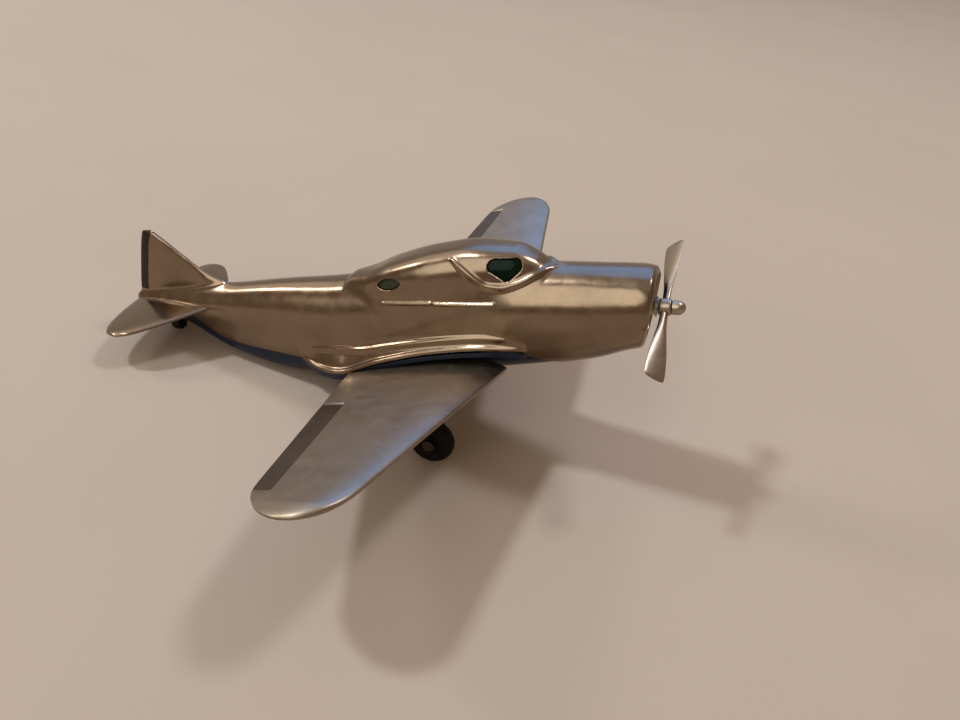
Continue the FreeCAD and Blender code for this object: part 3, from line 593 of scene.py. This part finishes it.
rubber = moulded("tyre_rubber", (0.009, 0.0075, 0.0065), 0.62, 1600, 0.35, (0.025, 0.021, 0.019), 0.15)
dull_pane = moulded("dull_green_pane", (0.045, 0.060, 0.028), 0.34, 600, 0.12, None, 0.2)
steel = turned_metal("turned_steel", (0.42, 0.40, 0.38), 0.30)
# Painted shade: the axle heads and the tail wheel pin get a darkened steel, standing in for the deep shade
# round the wheels.
painted_shade_steel = turned_metal("painted_shade_steel", (0.10, 0.09, 0.08), 0.36)
brass = turned_metal("turned_brass", (0.62, 0.43, 0.19), 0.28)
glass = tinted_pane("green_pane")


def finish_piece(obj, body, slot, materials, *nodes):
    """Give a piece its materials and body, and hide the CAD nodes it takes the place of; slot is not used.
    """
    for material in materials:
        obj.data.materials.append(material)
    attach(obj, body)
    if nodes:
        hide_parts(*nodes)
    return obj


def mark_faces(obj, marks):
    """Give each face the material with this number, if the mesh still has all its faces."""
    if len(obj.data.polygons) == len(marks):
        obj.data.polygons.foreach_set("material_index", marks)


# Fuselage casting
# Painted shade: a dark band this wide along the fin's trailing edge above RUDDER_LOW, and dark faces more
# than INSIDE_DEEP inside the skin.
RUDDER_WIDE, RUDDER_LOW = 1.9, 17.2
INSIDE_DEEP = 0.75


def casting_marks(points, faces):
    """Which material each face has: polished, the dark inside, or the rudder's dark band; both dark ones are
    painted shade.
    """
    middle = points[faces].mean(1)
    marks = (skin_field(*middle.T) < -INSIDE_DEEP).astype(np.int32)
    marks[(middle[:, 0] < fin_back(middle[:, 2]) + RUDDER_WIDE) & (middle[:, 2] > RUDDER_LOW)] = 2
    return marks


points, faces, normals = net(shell_field, (-58.5, -9.4, 5.5), (31.0, 9.4, 29.5), 0.17)
shell = add_mesh("fuselage_casting", points, faces, normals)
finish_piece(shell, "airframe", "polished_metal", [polished, inside, rudder], "fuselage_shell")
mark_faces(shell, casting_marks(points, faces))

# Window panes
PANE_SUNK, PANE_BACK = 0.28, 0.95
PANE_GAP, PANE_Y = 0.04, 1.5
REAR_PANES_X = 0.0155                           # in the row frame


def pane_field(x, y, z):
    """A layer a little under the skin, in the window openings."""
    skin = skin_field(x, y, z)
    panes = np.minimum(pane_outline(x, z, -PANE_GAP), rear_outline(x, z, -PANE_GAP))
    layer = both_of(both_of(skin + PANE_SUNK, -skin - PANE_BACK, 0.08), panes, 0.1)
    return np.maximum(layer, PANE_Y - np.abs(y))


panes = field_piece("window_panes", pane_field, (-15.0, -6.5, 20.5), (14.5, 6.5, 28.5), 0.12)
finish_piece(panes, "airframe", "green_glazing", [glass, dull_pane], "window_glazing")
mark_faces(panes, [int(polygon.center.x < REAR_PANES_X) for polygon in panes.data.polygons])

# Dark tray under the casting
TRAY_ENDS = (-56.4, 29.5)
TRAY_SQUARER = 3.0
STRIP_ENDS, STRIP_DEEP = (-24.4, 12.4), 1.3
PAD_Z = 6.3
SCREW_X = (16.5, -30.0)
RECESS_R, RECESS_DEEP = 1.25, 0.77


def tray_field(x, y, z):
    """The tray: squarer than the casting, with strips over the wing roots, a flat pad and screw recesses."""
    y = np.abs(y)
    mid, tall, half = body_sizes(x)
    power = BODY_POWER + TRAY_SQUARER * (body_square(x) - BODY_POWER)
    tray = oval(y, z - mid, half - 0.2, tall - 0.25, power)
    tray = both_of(tray, cowl_front(x, z, TRAY_ENDS[1]), 0.3)
    reach, lip = fair_reach(x), fair_lip(x)
    ends = np.maximum(x - STRIP_ENDS[1], STRIP_ENDS[0] - x)
    strip = both_of(both_of(y - reach + 0.35, lip - STRIP_DEEP - z, 0.25), ends, 0.3)
    tray = joined(tray, np.maximum(strip, z - lip), 0.4)
    tray = both_of(both_of(tray, z - parting_z(x) - TRAY_OVER, 0.08), PAD_Z - z, 0.2)
    for at in SCREW_X:
        recess = np.maximum(np.hypot(x - at, y) - RECESS_R, z - body_low(at) - RECESS_DEEP)
        tray = both_of(tray, -recess, 0.12)
    return both_of(tray, TRAY_ENDS[0] - x, 0.4)


tray = field_piece("chassis_tray", tray_field, (-58.0, -9.0, 4.0), (31.0, 9.0, 16.5), 0.19)
finish_piece(tray, "airframe", "dark_chassis", [navy], "chassis")

# Wings
ROOT_Y, TIP_Y, TIP_ROUND = 5.0, 47.14, 6.4
ROOT_FRONT, ROOT_BACK, ROOT_Z = 9.6, -14.8, 10.9
FRONT_SWEEP, BACK_SWEEP = 0.135, 0.195
TIP_MIDDLE, TIP_POWER = 0.46, 2.3
DIHEDRAL, INCIDENCE = math.radians(10.4), math.radians(5.0)
ROOT_THICK, TIP_THICK, THIN_CHORD, EDGE_HALF = 3.0, 1.5, 9.0, 0.175
AILERON = (20.0, 42.5)
AILERON_CHORD, AILERON_TAPER, AILERON_STEP = 3.6, 0.9, 0.24
FORE_POINTS, AFT_POINTS, SPAN_RINGS, TIP_RINGS = 44, 14, 150, 60
RING_POINTS = FORE_POINTS + 19                  # along one side of the section


def wing_edges(y):
    """Front and back x of the wing, with a round tip."""
    front, back = ROOT_FRONT - FRONT_SWEEP * (y - ROOT_Y), ROOT_BACK + BACK_SWEEP * (y - ROOT_Y)
    into = np.clip((y - (TIP_Y - TIP_ROUND)) / TIP_ROUND, 0, 1)
    shrink = np.sqrt(np.maximum(0.0, 1 - into ** TIP_POWER))
    mid = front - TIP_MIDDLE * (front - back)
    return mid + (front - mid) * shrink, mid + (back - mid) * shrink


def wing_height(x, y):
    """Height of the wing's middle surface."""
    return ROOT_Z + math.tan(DIHEDRAL) * (y - ROOT_Y) + math.tan(INCIDENCE) * (x - ROOT_FRONT)


def hinge_x(y):
    """The aileron's hinge line."""
    straight = ROOT_BACK + BACK_SWEEP * (y - ROOT_Y)
    share = np.clip((y - AILERON[0]) / (AILERON[1] - AILERON[0]), -0.3, 1.2)
    return straight + AILERON_CHORD - AILERON_TAPER * share


def skin_depth(along, share, chord):
    """Half the thickness: the usual aerofoil formula, with a blunt rear edge."""
    thick = (ROOT_THICK + share * (TIP_THICK - ROOT_THICK)) * np.minimum(1.0, chord / THIN_CHORD)
    depth = 1.48 * np.sqrt(along) - 0.63 * along - 1.758 * along ** 2 + 1.4215 * along ** 3
    return (depth - 0.5075 * along ** 4) * thick + EDGE_HALF * along


def shares_along(chord, split):
    """Shares of the chord for a ring's points: close together at the nose and past the hinge line."""
    fore = split * np.linspace(0, 1, FORE_POINTS) ** 1.75
    ease = np.array([0.0, 0.10, 0.18, 0.27, 0.38]) / chord
    aft = split + np.concatenate([ease, np.linspace(0.6 / chord, 1 - split, AFT_POINTS)])
    along = np.concatenate([fore[:-1], split - np.array([0.25, 0.12]) / chord, aft])
    along = np.unique(np.clip(along, 0, 1))
    return np.interp(np.linspace(0, 1, RING_POINTS), np.linspace(0, 1, len(along)), along)


def aileron_recess(x, y):
    """How far the upper skin is stepped down on the aileron."""
    gate = 1 / (1 + np.exp(-np.clip((y - AILERON[0]) / 0.09, -40, 40)))
    gate = gate / (1 + np.exp(np.clip((y - AILERON[1]) / 0.09, -40, 40)))
    behind = hinge_x(y) - x
    into = np.clip(behind / 0.2, 0, 1)
    return AILERON_STEP * into * into * (3 - 2 * into) * np.clip(1 - behind / 4.4, 0.15, 1) * gate


def wing_part():
    """Left wing: ring points follow the hinge line, so that the aileron's step is crisp."""
    ys = list(np.linspace(ROOT_Y, TIP_Y - TIP_ROUND, SPAN_RINGS))
    ys += [end + d for end in AILERON for d in (-0.3, -0.2, -0.12, -0.04, 0.04, 0.12, 0.2, 0.3)]
    ys += [TIP_Y - TIP_ROUND * (1 - math.sin(t)) for t in np.linspace(0.02, math.pi / 2 - 0.045, TIP_RINGS)]
    rings = []
    for y in sorted(ys):
        front, back = wing_edges(y)
        chord = front - back
        along = shares_along(chord, np.clip((front - hinge_x(y)) / chord, 0.55, 0.93))
        depth = skin_depth(along, (y - ROOT_Y) / (TIP_Y - ROOT_Y), chord)
        x = front - chord * along
        upper = depth - np.minimum(aileron_recess(x, y), 0.55 * depth)
        top = np.stack([x, np.full(RING_POINTS, y), wing_height(x, y) + upper], 1)
        low = np.stack([x, np.full(RING_POINTS, y), wing_height(x, y) - depth], 1)
        rings.append(np.concatenate([top, low[::-1][:-1]]))
    return ring_mesh(np.array(rings), flip=True)


def aileron_marks(points, faces):
    """1 for the faces on top of the aileron, 0 for the others."""
    marks = []
    for face in faces:
        x, y, z = points[list(face)].mean(0)
        y = abs(y)
        above = z > wing_height(x, y)
        marks.append(int(above and x < hinge_x(y) and AILERON[0] < y < AILERON[1]))
    return marks


wing = wing_part()
for side, part in (("left", wing), ("right", mirrored(wing))):
    obj = add_mesh(f"wing_skin_{side}", *part, sharp=50.0)
    # The aileron tops take the darker casting as painted shade.
    finish_piece(obj, "airframe", "polished_metal", [satin, aileron_shade], f"wing_{side}")
    mark_faces(obj, aileron_marks(*part))

# Tailplane: y, front x, back x, thickness
STAB = [(0.0, -38.6, -56.4, 1.3), (3.0, -41.2, -56.2, 1.3), (7.0, -44.0, -55.6, 1.15),
        (10.5, -46.6, -54.6, 1.0), (12.8, -48.8, -53.2, 0.8), (13.7, -50.6, -51.6, 0.5)]
STAB_Z, STAB_HALF = 15.5, 13.7
STAB_CLOSE_Y, STAB_CLOSE = 13.1, 0.62           # the tips close from here, over this length
STAB_RINGS, STAB_POINTS = 121, 72
stab_front, stab_back, stab_thick = (curve(STAB, i) for i in (1, 2, 3))


def tailplane_part():
    a = np.linspace(0, math.tau, STAB_POINTS, endpoint=False)
    c, s = np.cos(a), np.sin(a)
    rings = []
    for y in np.sin(np.linspace(-math.pi / 2, math.pi / 2, STAB_RINGS)) * STAB_HALF:
        q = abs(y)
        close = math.sqrt(max(0.0, 1 - max(0.0, (q - STAB_CLOSE_Y) / STAB_CLOSE) ** 2))
        close = max(close, 0.05)
        mid, half = (stab_front(q) + stab_back(q)) / 2, (stab_front(q) - stab_back(q)) / 2 * close
        z = STAB_Z + stab_thick(q) / 2 * close * np.sign(s) * np.abs(s) ** 0.8
        rings.append(np.stack([mid + half * c, np.full(STAB_POINTS, y), z], 1))
    return ring_mesh(np.array(rings), flip=True)


tail = add_mesh("tailplane_skin", *tailplane_part(), sharp=60.0)
finish_piece(tail, "airframe", "polished_metal", [polished], "tailplane")

# Propeller blades: share of the length, chord, thickness
BLADE = [(0.06, 1.1, 0.9), (0.22, 1.2, 0.75), (0.45, 1.95, 0.55), (0.70, 2.8, 0.45), (0.90, 3.15, 0.4),
         (1.0, 3.05, 0.35)]
BLADE_LONG, BLADE_POINTS = 11.7, 40
ROOT_TWIST, TIP_TWIST, REST_TURN = 62.0, 50.0, -66.0
HUB_X0, HUB_LONG, HUB_R, HUB_BORE = 29.94, 1.7, 1.15, 0.55
blade_chord, blade_thick = curve(BLADE, 1), curve(BLADE, 2)


def blade_part(turn_by):
    a = np.linspace(0, math.tau, BLADE_POINTS, endpoint=False)
    c, s = np.cos(a), np.sin(a)
    rings = []
    shares = np.concatenate([np.linspace(0.06, 0.9, 50), 0.9 + 0.1 * np.sin(np.linspace(0.05, 1.5, 18))])
    for share in shares:
        into = max(0.0, (share - 0.93) / 0.07)
        close = max(0.02, 1 - into ** 5) ** 0.3
        chord, thick = blade_chord(share) * close, blade_thick(share) * max(1 - 0.7 * into ** 3, 0.3)
        turn = math.radians(ROOT_TWIST + share * (TIP_TWIST - ROOT_TWIST))
        along, across = chord / 2 * c, thick / 2 * np.sign(s) * np.abs(s) ** 1.15
        x = along * math.sin(turn) - across * math.cos(turn)
        y = -along * math.cos(turn) - across * math.sin(turn)
        rings.append(np.stack([x, y, np.full(BLADE_POINTS, share * BLADE_LONG)], 1))
    points, faces = ring_mesh(np.array(rings))
    a = math.radians(REST_TURN + turn_by)
    x, y, z = points.T
    points = np.stack([x, y * math.cos(a) - z * math.sin(a), y * math.sin(a) + z * math.cos(a)], 1)
    return points + (HUB_X0 + HUB_LONG / 2, 0, THRUST_Z), faces


def hub_part():
    x1 = HUB_X0 + HUB_LONG
    profile = [(HUB_X0, HUB_BORE), (HUB_X0, HUB_R), (x1, HUB_R), (x1, HUB_BORE)]
    return lathe(softened(profile, [0.02, 0.3, 0.35, 0.02]), (0, 0, THRUST_Z), "x")


propeller = add_mesh("propeller_blades", *merge(blade_part(0), blade_part(180), hub_part()))
finish_piece(propeller, "propeller_set", "propeller_metal", [blade_metal], "propeller")

# Spinner cap in front of the hub
CAP_X0 = HUB_X0 + HUB_LONG
CAP_R, CAP_STRAIGHT, CAP_DOME, CAP_BORE = 0.98, 0.75, 1.13, 0.56


def cap_part():
    profile = [(CAP_X0 + 0.03, CAP_BORE), (CAP_X0 + 0.03, 0.86), (CAP_X0 + 0.12, 0.97),
               (CAP_X0 + CAP_STRAIGHT, CAP_R)]
    for t in np.linspace(0.12, math.pi / 2 - 0.02, 14):
        profile.append((CAP_X0 + CAP_STRAIGHT + CAP_DOME * math.sin(t), CAP_R * math.cos(t)))
    profile += [(CAP_X0 + 0.9, 0.015), (CAP_X0 + 0.9, CAP_BORE)]
    return lathe(profile, (0, 0, THRUST_Z), "x", 64)


spinner = add_mesh("spinner_cap", *cap_part())
finish_piece(spinner, "propeller_set", "propeller_metal", [blade_metal], "spinner")

# Engine face
CYLINDERS = 9
DISC_R, CASE_R, ENGINE_BORE = 4.43, 1.9, 1.16
DISC_X, CASE_X, BOLT_X = (26.25, 27.4), (26.6, 28.55), (28.0, 28.75)
CYLINDER_X, CYLINDER_OUT, BOLT_OUT = 27.7, (1.6, 4.0), 1.45
CYLINDER_R, FIN_DEEP, FIN_PITCH, BOLT_R = 0.5, 0.12, 0.36, 0.16


def engine_field(x, y, z):
    """A disc with a crankcase, a ring of finned cylinders and a bolt at each one's foot."""
    z = z - THRUST_Z
    r = np.hypot(y, z)
    disc = both_of(r - DISC_R, np.maximum(x - DISC_X[1], DISC_X[0] - x), 0.12)
    case = both_of(r - CASE_R, np.maximum(x - CASE_X[1], CASE_X[0] - x), 0.35)
    out = joined(disc, case, 0.25)
    turn = np.arctan2(y, z)
    near = (turn + math.pi / CYLINDERS) % (math.tau / CYLINDERS) - math.pi / CYLINDERS
    u, v = r * np.cos(near), r * np.sin(near)
    fins = CYLINDER_R + FIN_DEEP * np.cos(u * math.tau / FIN_PITCH)
    ends = np.maximum(u - CYLINDER_OUT[1], CYLINDER_OUT[0] - u)
    stub = both_of(np.hypot(v, x - CYLINDER_X) - fins, ends, 0.1)
    bolt = both_of(np.hypot(v, u - BOLT_OUT) - BOLT_R, np.maximum(x - BOLT_X[1], BOLT_X[0] - x), 0.06)
    out = joined(joined(out, stub, 0.08), bolt, 0.05)
    return both_of(out, ENGINE_BORE - r, 0.1)


engine = field_piece("engine_face_detail", engine_field, (25.9, -4.8, 15.1), (29.1, 4.8, 24.7), 0.09)
finish_piece(engine, "airframe", "black_engine", [engine_black], "engine_face")


def centre_z(radius, x):
    """Height of a wheel's centre in the level axes when it stands on the ground."""
    return (radius - DATUM[2] - x * math.sin(PITCH)) / math.cos(PITCH)


# Main wheels and legs
TYRE_R, TYRE_HALF, RIM_R, RIM_BORE = 3.35, 1.15, 1.96, 0.55
CROWN_MID, CROWN = 2.62, 0.73
GROOVES, GROOVE_DEEP, GROOVE_HALF = (-0.45, 0.0, 0.45), 0.1, 0.07
WHEEL_X, WHEEL_Y = -0.1, 12.35
WHEEL_Z = centre_z(TYRE_R, WHEEL_X)
LEG_Y, LEG_TOP, LEG_BOSS_R, LEG_HOLE_R = 10.25, 2.4, 1.33, 0.51


def tyre_part():
    outline = [(-1.0, 1.97), (-1.13, 2.35), (-TYRE_HALF, 2.7)]
    for t in np.linspace(-1.35, 1.35, 25):
        outline.append((TYRE_HALF * math.sin(t), CROWN_MID + CROWN * math.cos(t)))
    outline += [(TYRE_HALF, 2.7), (1.13, 2.35), (1.0, 1.97)]
    tread = []
    for along, r in outline:
        groove = sum(math.exp(-((along - at) / GROOVE_HALF) ** 2) for at in GROOVES)
        tread.append((along, r - GROOVE_DEEP * groove * (r > 2.9)))
    dense = []
    for (a, r), (b, q) in zip(tread, tread[1:]):
        dense += [(a + (b - a) * t, r + (q - r) * t) for t in (0.0, 0.5)]
    return lathe(dense + tread[-1:], (0, 0, 0), "y", 128)


def rim_part():
    profile = [(-1.0, RIM_BORE), (-1.0, 0.92), (-0.72, 1.05), (-0.66, 1.5), (-0.82, 1.66), (-1.0, 1.72),
               (-1.0, RIM_R), (1.0, RIM_R), (1.0, 1.72), (0.8, 1.64), (0.55, 1.52), (0.52, 1.08),
               (0.95, 0.92), (1.0, 0.8), (1.0, RIM_BORE)]
    return lathe(softened(profile, 0.09, 4), (0, 0, 0), "y", 96)


def moved(part, offset):
    return part[0] + np.array(offset), part[1]


def leg_field(x, y, z):
    """The left leg: an oval strut with a foot under the wing and a boss for the axle."""
    top = wing_height(LEG_TOP, LEG_Y) - 0.6
    t = np.clip((z - WHEEL_Z) / (top - WHEEL_Z), 0, 1)
    cx = WHEEL_X + (LEG_TOP - WHEEL_X) * t
    from_axle = np.hypot(x - WHEEL_X, z - WHEEL_Z)
    strut = np.hypot((x - cx) / 1.25, y - LEG_Y) - (0.62 + 0.12 * t)
    strut = both_of(strut, np.maximum(z - top, WHEEL_Z - z), 0.2)
    foot = both_of(np.hypot(x - cx, y - LEG_Y) - 1.3, np.maximum(z - top, top - 1.5 - z), 0.4)
    boss = both_of(from_axle - LEG_BOSS_R, np.abs(y - LEG_Y) - 0.68, 0.25)
    return both_of(joined(joined(strut, foot, 0.5), boss, 0.5), LEG_HOLE_R - from_axle, 0.05)


leg_points, leg_faces, leg_normals = net(leg_field, (-2.0, 8.6, 0.6), (4.6, 11.9, 12.6), 0.12)
for side, sign in (("left", 1), ("right", -1)):
    centre = (WHEEL_X, sign * WHEEL_Y, WHEEL_Z)
    for name, part, slot, material in (("tyre", tyre_part(), "rubber", rubber),
                                       ("wheel_hub", rim_part(), "wheel_plastic", wheel_black)):
        if sign < 0:
            part = mirrored(part)
        obj = add_mesh(f"{name}_detail_{side}", *moved(part, centre))
        finish_piece(obj, f"wheel_{side}", slot, [material], f"{name}_{side}")
    flip = leg_faces if sign > 0 else leg_faces[:, ::-1]
    obj = add_mesh(f"gear_strut_{side}", leg_points * (1, sign, 1), flip, leg_normals * (1, sign, 1))
    finish_piece(obj, "airframe", "black_gear", [black], f"gear_leg_{side}")

# Tail wheel and fork
TAIL_R, TAIL_HALF, TAIL_BORE = 1.2, 0.5, 0.41
TAIL_X = -50.4
TAIL_Z = centre_z(TAIL_R, TAIL_X)
FORK_Z = TAIL_Z + 1.55


def tail_wheel_part():
    half = [(TAIL_HALF, TAIL_BORE), (TAIL_HALF, 0.6), (0.34, 0.68), (0.34, 0.78), (TAIL_HALF, 0.86),
            (0.44, TAIL_R)]
    profile = [(-along, r) for along, r in half] + half[::-1]
    return lathe(softened(profile, 0.1, 4), (TAIL_X, 0, TAIL_Z), "y", 72)


obj = add_mesh("tail_wheel_detail", *tail_wheel_part())
finish_piece(obj, "tail_wheel_set", "rubber", [rubber], "tail_wheel")


def fork_field(x, y, z):
    """A plate under the tail with a cheek on each side of the wheel."""
    x, y = x - TAIL_X, np.abs(y)
    plate = both_of(both_of(np.abs(x) - 1.28, y - 1.13, 0.4), np.abs(z - FORK_Z - 0.35) - 0.34, 0.12)
    wide = 0.8 + 0.25 * np.clip((z - TAIL_Z) / 1.6, 0, 1)
    cheek = both_of(np.abs(x) - wide, np.maximum(z - FORK_Z - 0.3, TAIL_Z - z), 0.05)
    cheek = joined(cheek, np.hypot(x, z - TAIL_Z) - 0.8, 0.05)
    cheek = both_of(cheek, np.abs(y - 0.9) - 0.24, 0.12)
    return joined(plate, cheek, 0.15)


fork = field_piece("tail_fork_detail", fork_field, (-52.2, -1.7, 9.6), (-48.6, 1.7, 13.8), 0.07)
finish_piece(fork, "airframe", "black_gear", [black], "tail_wheel_fork")

# CAD nodes whose shape is right keep it and get their finish here
KEPT = {"prop_bush": brass, "prop_shaft": steel, "shaft_clip": steel, "thrust_washer": steel,
        "tail_wheel_pin": painted_shade_steel, "axle_left": painted_shade_steel, "axle_right": painted_shade_steel,
        "belly_screw_front": steel, "belly_screw_rear": steel}
for name, material in KEPT.items():
    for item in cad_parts[name].material_slots:
        item.material = material


# Floor: pale table cloth with a fine slanted weave
THREADS, THREAD_TURN = 380.0, 0.9
FLOOR_LINES = 60


def cloth():
    s = Shader("table_cloth")
    threads = []
    for turn in (THREAD_TURN, THREAD_TURN + math.pi / 2):
        place = s.node("ShaderNodeMapping", {"Vector": s.where, "Rotation": (0, 0, turn)})
        wave = s.node("ShaderNodeTexWave", {"Vector": place.outputs[0], "Scale": THREADS, "Distortion": 0.6,
                                            "Detail": 1.0, "Detail Scale": 0.4})
        threads.append(wave.outputs["Fac"])
    weave = s.maths("MAXIMUM", *threads)
    folds = s.noise(9, 3, 0.5, (1, 1.6, 1), (0, 0, 0.7))
    tone = s.mix(s.remap(s.noise(14, 3), 0.35, 0.65, 0.0, 1.0), (0.605, 0.525, 0.455), (0.585, 0.507, 0.436))
    s.set(Base_Color=tone, Roughness=0.95, Sheen_Weight=0.1)
    s.set(Normal=s.bump(weave, 0.16, 0.00010, s.bump(folds, 0.35, 0.004)))
    return s.material


def floor_mesh():
    """A flat grid in metres, finer in the middle."""
    n = FLOOR_LINES
    lines = np.sinh(np.linspace(-3.2, 3.2, n)) * 0.16
    grid = [(x, y, 0.0) for x in lines for y in lines]
    cells = [i * n + j for i in range(n - 1) for j in range(n - 1)]
    mesh = bpy.data.meshes.new("floor_cloth")
    mesh.from_pydata(grid, [], [(c, c + n, c + n + 1, c + 1) for c in cells])
    mesh.shade_smooth()
    return mesh


floor = bpy.data.objects.new("floor_cloth", floor_mesh())
scene.collection.objects.link(floor)
floor.data.materials.append(cloth())

# Lamps: direction, size, power and colour
LAMPS = {
    "lamp_left": ((-0.67, -0.08, 1.0), 0.08, 2.6, (0.92, 0.97, 1.0)),
    "lamp_right": ((0.35, 0.34, 1.0), 0.15, 1.65, (0.97, 0.95, 1.0)),
    "lamp_low": ((-1.55, 0.0, 1.0), 0.10, 0.8, (1.0, 0.97, 0.93)),
}
LAMP_FAR, LAMP_AIM = 0.9, Vector((0.0, 0.0, 0.015))


def area(name, towards, size, power, colour):
    light = bpy.data.lights.new(name, "AREA")
    light.energy, light.color, light.shape = power, colour, "RECTANGLE"
    light.size, light.size_y = size, size
    obj = bpy.data.objects.new(name, light)
    direction = Vector(towards).normalized()
    obj.location = LAMP_AIM + direction * LAMP_FAR
    obj.rotation_euler = direction.to_track_quat("Z", "Y").to_euler()
    scene.collection.objects.link(obj)


for name, settings in LAMPS.items():
    area(name, *settings)

# Surroundings: a warm room with soft round patches of light. Each patch has a direction, the cosines of its
# inner and outer edge, and a colour: the far side's glow, the ceiling, a cool window on the far side, a lamp
# by the tail and a soft box on the near side.
ROOM = (0.29, 0.205, 0.145, 1.0)
ROOM_BOUNCE = (0.30, 0.205, 0.125, 1.0)
PATCHES = [
    ((-0.35, 0.93, 0.10), 0.90, 0.15, (0.45, 0.39, 0.33)),
    ((0.0, 0.1, 1.0), 0.93, 0.75, (0.55, 0.48, 0.42)),
    ((-0.19, 0.66, 0.73), 0.965, 0.875, (0.62, 1.02, 2.05)),
    ((-0.76, 0.20, 0.62), 0.975, 0.90, (1.2, 1.12, 1.02)),
    ((-0.38, -0.71, 0.59), 0.925, 0.885, (2.15, 2.1, 1.95)),
]
world = bpy.data.worlds.new("studio")
world.use_nodes = True
scene.world = world
tree = world.node_tree
tree.nodes.clear()
sky = add_node(tree, "ShaderNodeTexCoord").outputs["Generated"]
base = add_node(tree, "ShaderNodeRGB")
base.outputs[0].default_value = ROOM


def patch(under, direction, inner, outer, colour):
    """Lay one patch of light over what is under it."""
    facing = add_node(tree, "ShaderNodeVectorMath", {0: sky, 1: Vector(direction).normalized()},
                      operation="DOT_PRODUCT")
    edge = {"Value": facing.outputs["Value"], "From Min": outer, "From Max": inner}
    share = add_node(tree, "ShaderNodeMapRange", edge, interpolation_type="SMOOTHSTEP").outputs[0]
    mixed = add_node(tree, "ShaderNodeMix", {0: share, 6: under, 7: (*colour, 1.0)}, data_type="RGBA")
    return mixed.outputs[2]


look = base.outputs[0]
for settings in PATCHES:
    look = patch(look, *settings)
# Matt surfaces are lit by the plain room, so that the patches only show in reflections
bounce = add_node(tree, "ShaderNodeLightPath").outputs["Is Diffuse Ray"]
shade = add_node(tree, "ShaderNodeMix", {0: bounce, 6: look, 7: ROOM_BOUNCE}, data_type="RGBA")
background = add_node(tree, "ShaderNodeBackground", {"Color": shade.outputs[2], "Strength": 1.0})
output = add_node(tree, "ShaderNodeOutputWorld")
tree.links.new(background.outputs[0], output.inputs[0])

# Camera: where it stands in metres, and the directions of its right, up and back
CAMERA_AT = (0.04025, -0.09523, 0.07647)
RIGHT, UP = Vector((0.94291, 0.31151, 0.11779)), Vector((-0.26871, 0.50269, 0.82164))
BACK = Vector((0.19674, -0.80639, 0.55770))
view = bpy.data.cameras.new("camera")
view.lens, view.sensor_width, view.clip_start = 29.29, 36.0, 0.001
camera = bpy.data.objects.new("camera", view)
turn = Matrix((RIGHT, UP, BACK)).transposed().to_4x4()
camera.matrix_world = Matrix.Translation(CAMERA_AT) @ turn
scene.collection.objects.link(camera)
scene.camera = camera
